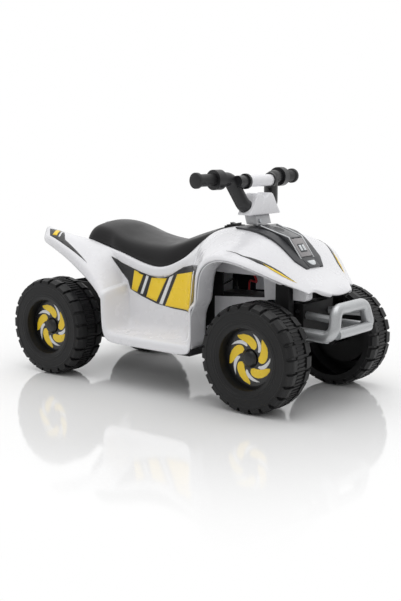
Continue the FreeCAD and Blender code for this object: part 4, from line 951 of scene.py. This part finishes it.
@dataclass
class Lamp:
    """Headlight on the bonnet: bright edge bars, a framed face with two lamp bars, and a lens lip."""

    # Corners of the edge bars, from the cowl over the brow to the foot.
    rear: Point = (161, 25.5, 308.0)
    brow: Point = (218.5, 20.6, 290.2)
    foot: Point = (245.5, 20.2, 253.5)
    edge_radius: float = 1.5
    housing: list[Flat] = field(default_factory=lambda: [
        (196, 294), (217.6, 288.6), (244.6, 253), (236, 255),
    ])
    housing_round: float = 0.8
    # Plates on the face: top, bottom, right and left edges, start and end out of the face, and rounds.
    face: tuple[float, ...] = (4.0, 42.0, -17.4, 17.4)
    face_depth: Flat = (-2.0, 1.2)
    face_round: float = 0.8
    frame: tuple[float, ...] = (16.0, 33.0, -10.0, 10.0)
    frame_depth: Flat = (0.0, 1.7)
    frame_round: float = 0.4
    bar_ends: Flat = (18.5, 30.5)
    bar_middle: float = 5.0
    bar_half: float = 3.2
    bar_depth: Flat = (0.5, 2.6)
    bar_round: float = 0.5
    # Half-round lens lip and the dark seat under it, from their rear edge to their front edge.
    lip_start: Point = (251.5, 0, 249.0)
    lip_end: Point = (260.0, 0, 241.5)
    lip_half: float = 11.0
    lip_turn: int = 30
    lip_thickness: float = 2.0
    lip_round: float = 0.5
    seat_start: Flat = (245.5, 251.9)
    seat_end: Flat = (261.3, 238.4)
    seat_half: float = 17.6

    def on_face(self, down: float, across: float, out: float) -> Vector:
        """Point on the sloping face.

        Args:
            down: Distance down the face from the brow.
            across: Distance from the bike's middle.
            out: Distance out of the face.

        Returns:
            The point.
        """
        brow, foot = (Vector((p[0], 0, p[2])) for p in (self.brow, self.foot))
        slope = (foot - brow).normalized()
        normal = Vector((-slope.z, 0, slope.x))
        return Vector((brow.x, across, brow.z)) + slope * down + normal * out

    def plate(self, name: str, edges: tuple[float, ...], depth: Flat, width: float,
              finish: Finish) -> bpy.types.Object:
        """Raised plate on the face.

        Args:
            name: Piece name.
            edges: Top, bottom, right and left edges on the face.
            depth: Where it starts and ends, out of the face.
            width: Width of its rounds.
            finish: Finish of the plate.

        Returns:
            The finished plate.
        """
        top, bottom, right, left = edges
        low, high = depth
        outline = [self.on_face(down, across, low) for down, across in
                   ((top, right), (bottom, right), (bottom, left), (top, left))]
        return moulded(name, outline, self.on_face(0, 0, high) - self.on_face(0, 0, low), width, finish)

    def build_lip(self) -> None:
        """Build the lens lip and the seat under it."""
        start, end = Vector(self.lip_start), Vector(self.lip_end)
        arc = [math.radians(turn) for turn in range(-90, 91, self.lip_turn)]
        edge = [start.lerp(end, math.cos(a)) + Vector((0, self.lip_half * math.sin(a), 0)) for a in arc]
        thick = Vector((start.z - end.z, 0, end.x - start.x)).normalized() * self.lip_thickness
        lip = moulded("lens_lip", edge, thick, self.lip_round, LENS)
        place_piece(lip, "chassis", "lens_pale", "headlight_lens")
        ends = ((-self.seat_half, self.seat_start), (-self.seat_half, self.seat_end),
                (self.seat_half, self.seat_end), (self.seat_half, self.seat_start))
        corners = [Vector((x, y, z)) for y, (x, z) in ends]
        seat = moulded("lens_seat", corners, thick, self.lip_round, CHARCOAL)
        place_piece(seat, "chassis", "console_charcoal")

    def build(self) -> None:
        """Build the edge bars, the housing, the face with its frame, the lens lip and the lamp bars."""
        for name, side in SIDES.items():
            spots = [Vector((x, side * y, z)) for x, y, z in (self.rear, self.brow, self.foot)]
            edge = rod(f"lamp_edge_{name}", spots, self.edge_radius, SILVER_PAINT)
            place_piece(edge, "chassis", "bumper_silver")
        corners = [Vector((x, -self.foot[1], z)) for x, z in self.housing]
        across = Vector((0, 2 * self.foot[1], 0))
        housing = moulded("lamp_housing", corners, across, self.housing_round, DARK_LACQUER)
        place_piece(housing, "chassis", "block_grey")
        face = self.plate("lamp_face", self.face, self.face_depth, self.face_round, STONE_GREY)
        place_piece(face, "chassis", "bumper_silver")
        frame = self.plate("lamp_frame", self.frame, self.frame_depth, self.frame_round, CHARCOAL)
        place_piece(frame, "chassis", "console_charcoal")
        self.build_lip()
        for name, side in SIDES.items():
            middle = side * self.bar_middle
            edges = (*self.bar_ends, middle - self.bar_half, middle + self.bar_half)
            bar = self.plate(f"lamp_bar_{name}", edges, self.bar_depth, self.bar_round, LENS)
            place_piece(bar, "chassis", "lens_pale")


@dataclass
class ClampCover:
    """White cover over the handlebar clamp, with a twin-humped top."""

    rear: float = 124.5
    depth: float = 29.0
    round_width: float = 2.2
    # Left half of the outline from the middle of the top, as place across and height.
    half: list[Flat] = field(default_factory=lambda: [
        (0, 357.5), (5, 359), (10, 363), (15, 366), (20, 366), (24, 363.4), (27.5, 359), (32, 351.5),
        (38, 342), (44, 333.5), (46.8, 330), (46.8, 327.3),
    ])

    def build(self) -> bpy.types.Object:
        """Build the cover.

        Returns:
            The finished cover.
        """
        left = [Vector((self.rear, y, z)) for y, z in self.half]
        right = [Vector((self.rear, -y, z)) for y, z in reversed(self.half[1:])]
        depth = Vector((self.depth, 0, 0))
        return moulded("clamp_cover_shell", left + right, depth, self.round_width, WHITE_SHELL)


@dataclass
class SoftEdges:
    """Moulded rounds on the boxy solids, shown on copies of their meshes."""

    # Angle in degrees under which neighbouring faces count as one.
    flat: float = 3.0
    # Node, the body it moves with, its slot, its finish and the width of the round.
    rounds: list[tuple[str, str, str, Finish, float]] = field(default_factory=lambda: [
        ("stem_block", "steering", "block_grey", GREY_LACQUER, 1.4),
        ("console_panel", "chassis", "console_charcoal", CHARCOAL, 0.9),
        ("headlight_block", "chassis", "block_grey", DARK_LACQUER, 1.2),
        ("grip_left", "steering", "grip_rubber", GRIP_RUBBER, 1.4),
        ("grip_right", "steering", "grip_rubber", GRIP_RUBBER, 1.4),
        ("chassis_tray", "chassis", "chassis_black", MATT_BLACK, 2.0),
        ("front_axle_beam", "chassis", "chassis_black", MATT_BLACK, 1.5),
        ("battery", "chassis", "battery_case", BATTERY_CASE, 2.0),
    ])

    def build(self, frame: dict) -> None:
        """Round every listed solid.

        Args:
            frame: The loaded frame.
        """
        for node, body, slot, finish, width in self.rounds:
            work = bmesh.new()
            work.from_mesh(frame["nodes"][node].data)
            bmesh.ops.remove_doubles(work, verts=work.verts, dist=SLIVER * MM)
            bmesh.ops.dissolve_limit(work, angle_limit=math.radians(self.flat), verts=work.verts,
                                     edges=work.edges)
            rounded(work, width)
            place_piece(finished(f"{node}_soft", work, finish), body, slot, node)


@dataclass
class Seat:
    """Black moulded saddle with a raised, flat-topped tail."""

    levels: int = 2
    # Place along the seat, half width, height of the top's middle and height of its edge line.
    shape: list[tuple[float, float, float, float]] = field(default_factory=lambda: [
        (-240, 60, 269, 265), (-237, 66, 281, 275), (-229, 69, 294, 288), (-217, 70, 300.5, 293.5),
        (-203, 70, 301.5, 293), (-184, 70, 301, 290), (-168, 71, 298, 285.5), (-158, 74.5, 294.5, 281.5),
        (-134, 75.5, 286, 273), (-103, 75.5, 276.5, 267), (-66, 75.5, 270.5, 263), (-35, 75.5, 270, 262.5),
        (-10, 74, 276, 267), (14, 66, 286, 276), (40, 54, 294, 285), (58, 42, 299.5, 292),
        (64, 36, 300, 295),
    ])
    # Foot of the seat's nose, which rises from the shell's rim over the cowl, as place and height.
    nose_foot: list[Flat] = field(default_factory=lambda: [(14, 236), (64, 288)])
    least_side: float = 4.0
    # Foot of the flank: inset from the half width and height over the rim.
    foot: list[Flat] = field(default_factory=lambda: [(5, -1), (0, 0.8)])
    # Flank: share of the half width, width added to it and share of the way from the rim to the edge line.
    flank: list[Point] = field(default_factory=lambda: [(1, 0.8, 0.3), (1, -4, 0.72), (0.84, 0, 0.94)])
    # Top: share of the half width and share of the way from the edge line to the middle.
    top: list[Flat] = field(default_factory=lambda: [(0.68, 0.12), (0.4, 0.66)])

    def section(self, x: float, half: float, top: float, edge: float, rim: float) -> list[Vector]:
        """Ring across the seat, from its left foot over the top to its right foot.

        Args:
            x: Place along the seat.
            half: Half width.
            top: Height of the middle.
            edge: Height of the edge line.
            rim: Height of the shell's rim.

        Returns:
            Corners of the ring.
        """
        side = [(half - inset, rim + lift) for inset, lift in self.foot]
        side += [(half * share + more, lerp(rim, edge, rise)) for share, more, rise in self.flank]
        side += [(half * share, lerp(edge, top, rise)) for share, rise in self.top]
        over = [Vector((x, y, z)) for y, z in side]
        back = [Vector((x, -y, z)) for y, z in reversed(side)]
        return [*over, Vector((x, 0, top)), *back]

    def build(self, skin: BodySkin) -> bpy.types.Object:
        """Build the seat over the shell's rim.

        Args:
            skin: Shell that the seat sits on.

        Returns:
            The finished seat.
        """
        rings = []
        for x, half, top, edge in self.shape:
            rim = skin.rim_height(x) if x < self.nose_foot[0][0] else along(self.nose_foot, x)
            rings.append(self.section(x, half, top, edge, min(rim, edge - self.least_side)))
        rows = len(rings[0])
        points = [point for ring in rings for point in ring]
        faces = grid_faces(len(rings), rows)
        for station in range(len(rings) - 1):
            corner = station * rows
            faces.append((corner + rows - 1, corner, corner + rows, corner + 2 * rows - 1))
        last = (len(rings) - 1) * rows
        faces.append(tuple(range(rows)))
        faces.append(tuple(range(last + rows - 1, last - 1, -1)))
        return smoothed(tidied(mesh_object("seat_saddle", points, faces, SEAT_BLACK)), self.levels)


@dataclass
class WheelDress:
    """Fine ribs and lug ends round each tyre, beads on its side and the printed ring in its dish."""

    width: float = 70.0
    # Ribs across the tread: their number and the radius they stand on.
    ribs: int = 84
    crown_radius: float = 92.4
    rib_width: float = 23.0
    rib_height: float = 1.9
    rib_sunk: float = 0.6
    # Half the rib's length round the tyre at its foot and at its crest, and the slope of its ends.
    rib_foot: float = 1.7
    rib_crest: float = 1.0625
    rib_flank: float = 1.2
    # Lug ends: their number, length round the tyre, taper and the radius they stand on.
    lugs: int = 24
    lug_length: float = 19.0
    lug_taper: float = 1.2
    shoulder_radius: float = 88.0
    # Side profile of a lug's end: distance out from the shoulder's radius and from the wheel's middle.
    shoulder: list[Flat] = field(default_factory=lambda: [
        (-4, 21), (6.3, 21), (6.3, 26), (3.2, 33.4), (-4, 34.4),
    ])
    # Radius and size of each bead, and how much of it is sunk in the wheel's side.
    beads: list[Flat] = field(default_factory=lambda: [(64, 1.3), (70, 0.9), (82, 1.5)])
    bead_sunk: float = 0.3
    bead_height: float = 0.7
    bead_angles: range = range(-30, 211, 24)
    turns: int = 96
    crease: float = 40.0
    # Printed ring: depth of the dish's face, thickness of the film and the blades of each colour.
    trim_depth: float = 18.8
    film: float = 0.25
    blades: int = 5
    blade_steps: int = 9
    blade_curl: float = 1.4
    blade_root: float = 0.12
    blade_fullness: float = 0.8
    # Colour, film, radius of root and tip, sweep in degrees, share of the pitch and turn in degrees.
    prints: list[tuple[str, Finish, float, float, float, float, float]] = field(default_factory=lambda: [
        ("yellow", VINYL_YELLOW, 18.0, 46.0, 54, 0.68, 0),
        ("white", VINYL_WHITE, 21.5, 44.0, 46, 0.26, 37),
    ])
    bodies: dict[str, str] = field(default_factory=lambda: {
        "front_left": "front_wheel_left", "front_right": "front_wheel_right",
        "rear_left": "rear_drive", "rear_right": "rear_drive",
    })

    def ring_tree(self) -> bpy.types.NodeTree:
        """Node tree that repeats a source piece round an axle.

        Returns:
            The tree, with the count, radius, source, facing, place and finish as inputs.
        """
        known = bpy.data.node_groups.get("ring_of_pieces")
        if known:
            return known
        tree = bpy.data.node_groups.new("ring_of_pieces", "GeometryNodeTree")
        sockets = {"Count": "Int", "Radius": "Float", "Source": "Object", "Facing": "Vector",
                   "Place": "Vector", "Finish": "Material"}
        for name, kind in sockets.items():
            tree.interface.new_socket(name, in_out="INPUT", socket_type=f"NodeSocket{kind}")
        tree.interface.new_socket("Geometry", in_out="OUTPUT", socket_type="NodeSocketGeometry")
        given = add(tree, "NodeGroupInput").outputs
        circle = add(tree, "GeometryNodeMeshCircle", {
            "Vertices": given["Count"], "Radius": given["Radius"],
        })
        source = add(tree, "GeometryNodeObjectInfo", {"Object": given["Source"]})
        step = add(tree, "ShaderNodeMath", {0: math.tau, 1: given["Count"]}, operation="DIVIDE")
        index = add(tree, "GeometryNodeInputIndex")
        angle = add(tree, "ShaderNodeMath", {0: index.outputs[0], 1: step.outputs[0]}, operation="MULTIPLY")
        euler = add(tree, "ShaderNodeCombineXYZ", {"Z": angle.outputs[0]})
        turn = add(tree, "FunctionNodeEulerToRotation", {0: euler.outputs[0]})
        copies = add(tree, "GeometryNodeInstanceOnPoints", {
            "Points": circle.outputs[0], "Instance": source.outputs["Geometry"],
            "Rotation": turn.outputs[0],
        })
        faced = add(tree, "GeometryNodeTransform", {
            "Geometry": copies.outputs[0], "Rotation": given["Facing"], "Translation": given["Place"],
        })
        real = add(tree, "GeometryNodeRealizeInstances", {0: faced.outputs[0]})
        dressed = add(tree, "GeometryNodeSetMaterial", {
            "Geometry": real.outputs[0], "Material": given["Finish"],
        })
        add(tree, "NodeGroupOutput", {0: dressed.outputs[0]})
        return tree

    def ring(self, name: str, source: bpy.types.Object, count: int, radius: float, centre: Vector,
             side: int, finish: Finish) -> bpy.types.Object:
        """Repeat a source piece round a wheel's axle.

        Args:
            name: Piece name.
            source: Piece to repeat: X points away from the axle, Z along it.
            count: Number of copies.
            radius: Distance from the axle in millimetres.
            centre: Middle of the ring in millimetres.
            side: 1 for the left of the bike, -1 for the right.
            finish: Finish of the ring.

        Returns:
            The finished ring as a plain mesh.
        """
        item = mesh_object(name, [], [], finish)
        ring = item.modifiers.new("ring", "NODES")
        ring.node_group = self.ring_tree()
        values = {"Count": count, "Radius": radius * MM, "Source": source, "Finish": finish.material(),
                  "Facing": (-side * math.pi / 2, 0.0, 0.0), "Place": tuple(centre * MM)}
        for socket in ring.node_group.interface.items_tree:
            if socket.in_out == "INPUT":
                ring[socket.identifier] = values[socket.name]
        return settled(item)

    def block(self, name: str, points: list[Vector], faces: list[tuple[int, ...]],
              finish: Finish) -> bpy.types.Object:
        """Source piece with plain flat faces.

        Args:
            name: Piece name.
            points: Corners in millimetres.
            faces: Corner numbers of each face.
            finish: Finish of the piece.

        Returns:
            The source piece.
        """
        item = tidied(mesh_object(name, points, faces, finish))
        shade(item.data, False)
        return item

    def rib(self) -> bpy.types.Object:
        """Build the source rib: a low bar with sloped flanks, across the tread.

        Returns:
            The source piece.
        """
        half = self.rib_width / 2
        levels = ((-self.rib_sunk, self.rib_foot, half),
                  (self.rib_height, self.rib_crest, half - self.rib_flank))
        points = [Vector((out, ahead * length, across * reach)) for out, length, reach in levels
                  for ahead, across in ((-1, -1), (1, -1), (1, 1), (-1, 1))]
        faces = [(0, 1, 2, 3), (7, 6, 5, 4), (0, 4, 5, 1), (1, 5, 6, 2), (2, 6, 7, 3), (3, 7, 4, 0)]
        return self.block("rib_source", points, faces, WHEEL_BLACK)

    def lug_end(self) -> bpy.types.Object:
        """Build the source block that carries a lug over the tyre's shoulder.

        Returns:
            The source piece.
        """
        points = [Vector((x, sign * (self.lug_length / 2 - self.lug_taper * (x > 0)), z))
                  for sign in (-1, 1) for x, z in self.shoulder]
        count = len(self.shoulder)
        faces = [tuple(range(count)), tuple(range(2 * count - 1, count - 1, -1))]
        faces += [(n, n + count, (n + 1) % count + count, (n + 1) % count) for n in range(count)]
        return self.block("lug_end_source", points, faces, WHEEL_BLACK)

    def blade(self, inner: float, outer: float, sweep: float, share: float, turn: float,
              finish: Finish) -> bpy.types.Object:
        """Source blade of the printed ring: a curved sliver of film.

        Args:
            inner: Radius of its root.
            outer: Radius of its tip.
            sweep: Turn from root to tip in degrees.
            share: Part of the pitch that its middle fills.
            turn: Turn of the whole blade in degrees.
            finish: Film colour.

        Returns:
            The blade, lying across the axle's Z.
        """
        pitch = math.tau / self.blades
        steps = self.blade_steps
        edges: list[list[Vector]] = [[], []]
        for step in range(steps + 1):
            part = step / steps
            radius = lerp(inner, outer, part)
            middle = math.radians(turn + sweep * part ** self.blade_curl)
            swell = math.sin(math.pi * lerp(self.blade_root, 1.0, part)) ** self.blade_fullness
            half = pitch * share / 2 * swell
            for edge, angle in zip(edges, (middle - half, middle + half)):
                edge.append(Vector((radius * math.cos(angle), radius * math.sin(angle), 0)))
        points = [*edges[0], *edges[1]]
        count = steps + 1
        lifted = [p + Vector((0, 0, self.film)) for p in points]
        faces = []
        for step in range(steps):
            faces.append((step, step + 1, count + step + 1, count + step))
            faces.append(tuple(2 * count + n for n in (count + step, count + step + 1, step + 1, step)))
            faces.append((step, 2 * count + step, 2 * count + step + 1, step + 1))
            faces.append((count + step + 1, 3 * count + step + 1, 3 * count + step, count + step))
        faces.append((0, count, 3 * count, 2 * count))
        faces.append((steps, 2 * count + steps, 3 * count + steps, count + steps))
        return self.block("blade_source", points + lifted, faces, finish)

    def bead(self, name: str, radius: float, size: float, centre: Vector, side: int) -> bpy.types.Object:
        """Half-round bead on the wheel's side, turned round the axle.

        Args:
            name: Piece name.
            radius: Radius of its middle line.
            size: Half its width.
            centre: Wheel's middle.
            side: 1 for the left of the bike, -1 for the right.

        Returns:
            The finished bead.
        """
        foot = self.width / 2 - self.bead_sunk
        angles = [math.radians(angle) for angle in self.bead_angles]
        rise = size * self.bead_height
        profile = [(radius + size * math.cos(a), foot + rise * math.sin(a)) for a in angles]
        count = len(profile)
        points, faces = [], []
        for step in range(self.turns):
            turn = math.tau * step / self.turns
            for away, out in profile:
                points.append(centre + Vector((away * math.cos(turn), side * out, away * math.sin(turn))))
            for row in range(count):
                a, b = step * count + row, step * count + (row + 1) % count
                c, d = (b + count) % (self.turns * count), (a + count) % (self.turns * count)
                faces.append((a, b, c, d))
        item = tidied(mesh_object(name, points, faces, WHEEL_BLACK))
        item.data.set_sharp_from_angle(angle=math.radians(self.crease))
        return item

    def dress(self, label: str, body: str, rib: bpy.types.Object, lug_end: bpy.types.Object,
              blades: dict[str, tuple[Finish, bpy.types.Object]]) -> None:
        """Dress one wheel.

        Args:
            label: Place of the wheel.
            body: Body it turns with.
            rib: Source of the tread ribs.
            lug_end: Source of the lug ends.
            blades: Film and source of each colour of blade.
        """
        side = 1 if label.endswith("left") else -1
        low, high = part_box(f"wheel_{label}")
        centre = (low + high) / 2 / MM
        tread = self.ring(f"tread_ribs_{label}", rib, self.ribs, self.crown_radius, centre, side,
                          WHEEL_BLACK)
        place_piece(tread, body, "wheel_black")
        for place, facing in (("outer", side), ("inner", -side)):
            ends = self.ring(f"lug_ends_{place}_{label}", lug_end, self.lugs, self.shoulder_radius, centre,
                             facing, WHEEL_BLACK)
            place_piece(ends, body, "wheel_black")
        face = centre + Vector((0, side * (self.width / 2 - self.trim_depth), 0))
        for colour, (finish, source) in blades.items():
            film = self.ring(f"trim_{colour}_{label}", source, self.blades, 0.0, face, side, finish)
            place_piece(film, body, "trim_face")
        for number, (radius, size) in enumerate(self.beads):
            bead = self.bead(f"side_bead_{number}_{label}", radius, size, centre, side)
            place_piece(bead, body, "wheel_black")

    def build(self) -> None:
        """Dress all four wheels from shared source pieces."""
        rib = self.rib()
        lug_end = self.lug_end()
        blades = {colour: (finish, self.blade(*sizes, finish)) for colour, finish, *sizes in self.prints}
        for label, body in self.bodies.items():
            self.dress(label, body, rib, lug_end, blades)
        for source in (rib, lug_end, *(blade for _, blade in blades.values())):
            bpy.data.objects.remove(source)


@dataclass
class Graphics:
    """Printed film on the shell: plain stripes on the side panels, and wedges on the wings and fenders."""

    lift: float = 0.35
    thickness: float = 0.28
    # Longest edge wanted in the film's mesh, and the most rounds of splitting that go into it.
    pitch: float = 7.0
    splits: int = 6
    # Distance from the bike's middle at which the laying starts.
    reach: float = 400.0
    # Piece, film colour, whether it is laid from above, its layer and its corners.
    films: list[tuple[str, Finish, bool, int, list[Flat]]] = field(default_factory=lambda: [
        ("ground", VINYL_BLACK, False, 1, [
            (-152, 236), (-130, 225), (-109, 219), (-84, 211.5), (-60, 204.5), (-36, 201.5), (-12, 206.5),
            (8, 218), (26, 228), (60, 236), (106, 243), (105, 215), (104, 181), (92, 167), (89, 148),
            (80, 146), (45, 145), (0, 147), (-41, 152), (-80, 163), (-109, 174), (-116, 191), (-131, 205),
            (-142, 222)]),
        ("stripe_rear", VINYL_YELLOW, False, 2, [(-98, 214), (-74, 207), (-92, 170), (-106, 174)]),
        ("stripe_middle", VINYL_YELLOW, False, 2, [(-54, 201), (-16, 203), (-42, 156), (-68, 163)]),
        ("stripe_front", VINYL_YELLOW, False, 2, [(10, 213), (74, 226), (54, 147), (-20, 150.5)]),
        ("dash_rear", VINYL_WHITE, False, 2, [(-67, 205), (-61, 203), (-77, 167), (-83, 168)]),
        ("dash_middle", VINYL_WHITE, False, 2, [(-9, 206), (1, 211), (-27, 151.5), (-35, 153)]),
        ("dash_front", VINYL_WHITE, False, 2, [(81, 229), (90, 231), (70, 148), (61, 147.5)]),
        ("wing", VINYL_BLACK, True, 1, [
            (-316, 97), (-302, 86), (-284, 87), (-262, 107), (-178, 130), (-262, 117), (-300, 112)]),
        ("wing_bar", VINYL_YELLOW, True, 2, [(-303, 89), (-294, 88.5), (-286, 107), (-296, 109)]),
        ("wing_dash", VINYL_WHITE, True, 2, [(-289, 89.5), (-286, 89.5), (-277, 107), (-281, 107.5)]),
        ("fender", VINYL_BLACK, True, 1, [
            (168, 138), (200, 131), (224, 111), (252, 90), (272, 80), (248, 99), (222, 121.5), (198, 134)]),
        ("fender_bar", VINYL_YELLOW, True, 2, [
            (228, 113), (252, 94.5), (276, 78.5), (256, 96.5), (240, 108)]),
    ])

    def patch(self, outline: list[Flat]) -> bmesh.types.BMesh:
        """Flat outline filled with small triangles.

        Args:
            outline: Corners in the plane.

        Returns:
            A working mesh in millimetres.
        """
        work = bmesh.new()
        work.faces.new([work.verts.new((x, second, 0)) for x, second in outline])
        bmesh.ops.triangulate(work, faces=work.faces[:])
        for _ in range(self.splits):
            long_edges = [e for e in work.edges if e.calc_length() > self.pitch]
            if not long_edges:
                break
            bmesh.ops.subdivide_edges(work, edges=long_edges, cuts=1)
            bmesh.ops.triangulate(work, faces=work.faces[:])
        return work

    def projected(self, name: str, outline: list[Flat], skin: BVHTree, side: int, down: bool, layer: int,
                  finish: Finish) -> bpy.types.Object:
        """Lay a flat outline on the shell.

        Args:
            name: Piece name.
            outline: Corners as (x, z) for the side or (x, y) for the top.
            skin: Search tree of the shell.
            side: 1 for the left of the bike, -1 for the right.
            down: True lays the outline from above, False from the side.
            layer: 1 lies on the shell, 2 on the first film.
            finish: Film colour.

        Returns:
            The film as a thin closed sheet.
        """
        work = self.patch(outline)
        aim = Vector((0, 0, -1)) if down else Vector((0, -side, 0))
        lost = []
        for corner in work.verts:
            x, second, _ = corner.co
            start = (x, side * second, self.reach) if down else (x, side * self.reach, second)
            hit, normal, _, _ = skin.ray_cast(Vector(start) * MM, aim)
            if hit is None:
                lost.append(corner)
                continue
            if normal.dot(aim) > 0:
                normal = -normal
            corner.co = hit + normal * self.lift * layer * MM
        bmesh.ops.delete(work, geom=lost, context="VERTS")
        bmesh.ops.recalc_face_normals(work, faces=work.faces)
        item = mesh_object(name, [], [], finish)
        work.to_mesh(item.data)
        work.free()
        shade(item.data, True)
        thick = item.modifiers.new("film", "SOLIDIFY")
        thick.thickness = self.thickness * MM
        thick.offset = 0.0
        return settled(item)

    def build(self, shell: bpy.types.Object) -> None:
        """Lay all the film on the shell.

        Args:
            shell: Finished shell.
        """
        skin = BVHTree.FromObject(shell, bpy.context.evaluated_depsgraph_get())
        for label, finish, down, layer, outline in self.films:
            for name, side in SIDES.items():
                film = self.projected(f"film_{label}_{name}", outline, skin, side, down, layer, finish)
                place_piece(film, "chassis", "trim_face")


@dataclass
class Studio:
    """Pale polished floor, white surroundings, one soft lamp and the camera at the photograph's angle."""

    eye: Point = (1232.2, -1531.8, 468.9)
    target: Point = (0.88, 0.0, 152.22)
    lens: float = 61.24
    sensor: float = 36.0
    floor_half: float = 6000.0
    # Distances from the middle, in metres, between which the floor fades into the backdrop.
    clear: float = 0.42
    faded: float = 0.9
    # Strength of the surroundings on the camera's side and behind the object, and what the sky adds.
    front_light: float = 0.5
    back_light: float = 1.0
    sky_light: float = 0.25
    back_range: Flat = (-0.3, 0.7)
    sky_range: Flat = (0.2, 0.9)
    # Place, aim and side of the soft lamp in metres, and its watts.
    lamp_place: Point = (0.2, -0.3, 2.2)
    lamp_aim: Point = (0.0, 0.0, 0.15)
    lamp_size: float = 2.0
    lamp_power: float = 14.0

    def floor(self) -> None:
        """Lay the floor, which keeps the shadow and a faint reflection."""
        half = self.floor_half
        signs = ((-1, -1), (1, -1), (1, 1), (-1, 1))
        corners = [Vector((x * half, y * half, 0)) for x, y in signs]
        # Lacquered white board: even and glossy enough for a soft mirror image.
        paint = Finish("white_studio_floor", "#FBFBFB", "#F9F9F9", 0.06, 60.0, 0.0, mottle_mm=900.0,
                       spread=0.01)
        mesh_object("studio_floor", corners, [(0, 1, 2, 3)], paint)
        tree = paint.material().node_tree
        out = next(node for node in tree.nodes if node.type == "OUTPUT_MATERIAL")
        gloss = out.inputs["Surface"].links[0].from_socket
        place = add(tree, "ShaderNodeTexCoord").outputs["Object"]
        away = add(tree, "ShaderNodeVectorMath", {0: place}, operation="LENGTH").outputs["Value"]
        fade = add(tree, "ShaderNodeMapRange", {
            "Value": away, "From Min": self.clear, "From Max": self.faded,
        }, interpolation_type="SMOOTHSTEP").outputs[0]
        seen = add(tree, "ShaderNodeLightPath").outputs["Is Camera Ray"]
        share = add(tree, "ShaderNodeMath", {0: fade, 1: seen}, operation="MULTIPLY").outputs[0]
        white = add(tree, "ShaderNodeEmission", {"Color": linear(WHITE), "Strength": 1.0})
        mixed = add(tree, "ShaderNodeMixShader", {0: share, 1: gloss, 2: white.outputs[0]})
        tree.links.new(mixed.outputs[0], out.inputs["Surface"])

    def world(self) -> None:
        """White backdrop and ceiling with a dimmer camera side, full white to the camera."""
        world = bpy.data.worlds.new("white_surroundings")
        bpy.context.scene.world = world
        world.use_nodes = True
        tree = world.node_tree
        tree.nodes.clear()
        aim = add(tree, "ShaderNodeTexCoord").outputs["Generated"]
        back = (Vector(self.target) - Vector(self.eye)).normalized()
        behind = add(tree, "ShaderNodeVectorMath", {0: aim, 1: (back.x, back.y, 0.0)},
                     operation="DOT_PRODUCT").outputs["Value"]
        round_light = add(tree, "ShaderNodeMapRange", {
            "Value": behind, "From Min": self.back_range[0], "From Max": self.back_range[1],
            "To Min": self.front_light, "To Max": self.back_light,
        }, interpolation_type="SMOOTHSTEP")
        height = add(tree, "ShaderNodeSeparateXYZ", {0: aim}).outputs["Z"]
        sky = add(tree, "ShaderNodeMapRange", {
            "Value": height, "From Min": self.sky_range[0], "From Max": self.sky_range[1],
            "To Max": self.sky_light,
        }, interpolation_type="SMOOTHSTEP")
        total = add(tree, "ShaderNodeMath", {0: round_light.outputs[0], 1: sky.outputs[0]}, operation="ADD")
        seen = add(tree, "ShaderNodeLightPath").outputs["Is Camera Ray"]
        strength = add(tree, "ShaderNodeMix", {0: seen, 2: total.outputs[0], 3: 1.0}).outputs[0]
        light = add(tree, "ShaderNodeBackground", {"Color": linear(WHITE), "Strength": strength})
        add(tree, "ShaderNodeOutputWorld", {"Surface": light.outputs[0]})

    def hang(self, name: str, data: bpy.types.Light | bpy.types.Camera, place: Vector,
             target: Vector) -> bpy.types.Object:
        """Put a lamp or camera in its place.

        Args:
            name: Object name.
            data: Lamp or camera.
            place: Its place in metres.
            target: Point that it faces, in metres.

        Returns:
            The linked object.
        """
        item = bpy.data.objects.new(name, data)
        item.location = place
        item.rotation_euler = (target - place).to_track_quat("-Z", "Y").to_euler()
        bpy.context.scene.collection.objects.link(item)
        return item

    def lamp(self) -> None:
        """Hang the soft square lamp above the object."""
        data = bpy.data.lights.new("softbox_above", "AREA")
        data.size = self.lamp_size
        data.energy = self.lamp_power
        self.hang("softbox_above", data, Vector(self.lamp_place), Vector(self.lamp_aim))

    def camera(self) -> None:
        """Set the camera where the photograph was taken from."""
        data = bpy.data.cameras.new("camera")
        data.lens = self.lens
        data.sensor_width = self.sensor
        eye, target = Vector(self.eye) * MM, Vector(self.target) * MM
        bpy.context.scene.camera = self.hang("camera", data, eye, target)

    def build(self) -> None:
        """Set up the whole studio."""
        self.floor()
        self.world()
        self.lamp()
        self.camera()
        bpy.context.scene.view_settings.view_transform = "Standard"


def dress_solids(frame: dict) -> None:
    """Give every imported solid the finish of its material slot.

    Args:
        frame: The loaded frame.
    """
    for name, solid in frame["nodes"].items():
        slot = solid.material_slots[0].material.name.split(".")[0]
        solid.material_slots[0].material = SLOT_FINISHES[slot].material()
        LOG.info("%s keeps its solid, finish %s", name, SLOT_FINISHES[slot].name)


def main() -> None:
    """Build the quad bike over the frame, piece by piece."""
    logging.basicConfig(level=logging.INFO, format="%(message)s")
    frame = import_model()
    dress_solids(frame)
    skin = BodySkin()
    shell = skin.build()
    place_piece(shell, "chassis", "body_white", "body_shell", "bonnet")
    walls = InnerWalls()
    place_piece(walls.build(), "chassis", "body_white")
    place_piece(walls.tail(), "chassis", "body_white")
    ArchLiner().build(skin)
    place_piece(Seat().build(skin), "chassis", "seat_black", "seat")
    Lamp().build()
    place_piece(ClampCover().build(), "steering", "body_white", "clamp_cover")
    SoftEdges().build(frame)
    WheelDress().build()
    Graphics().build(shell)
    Studio().build()


if __name__ == "__main__":
    main()
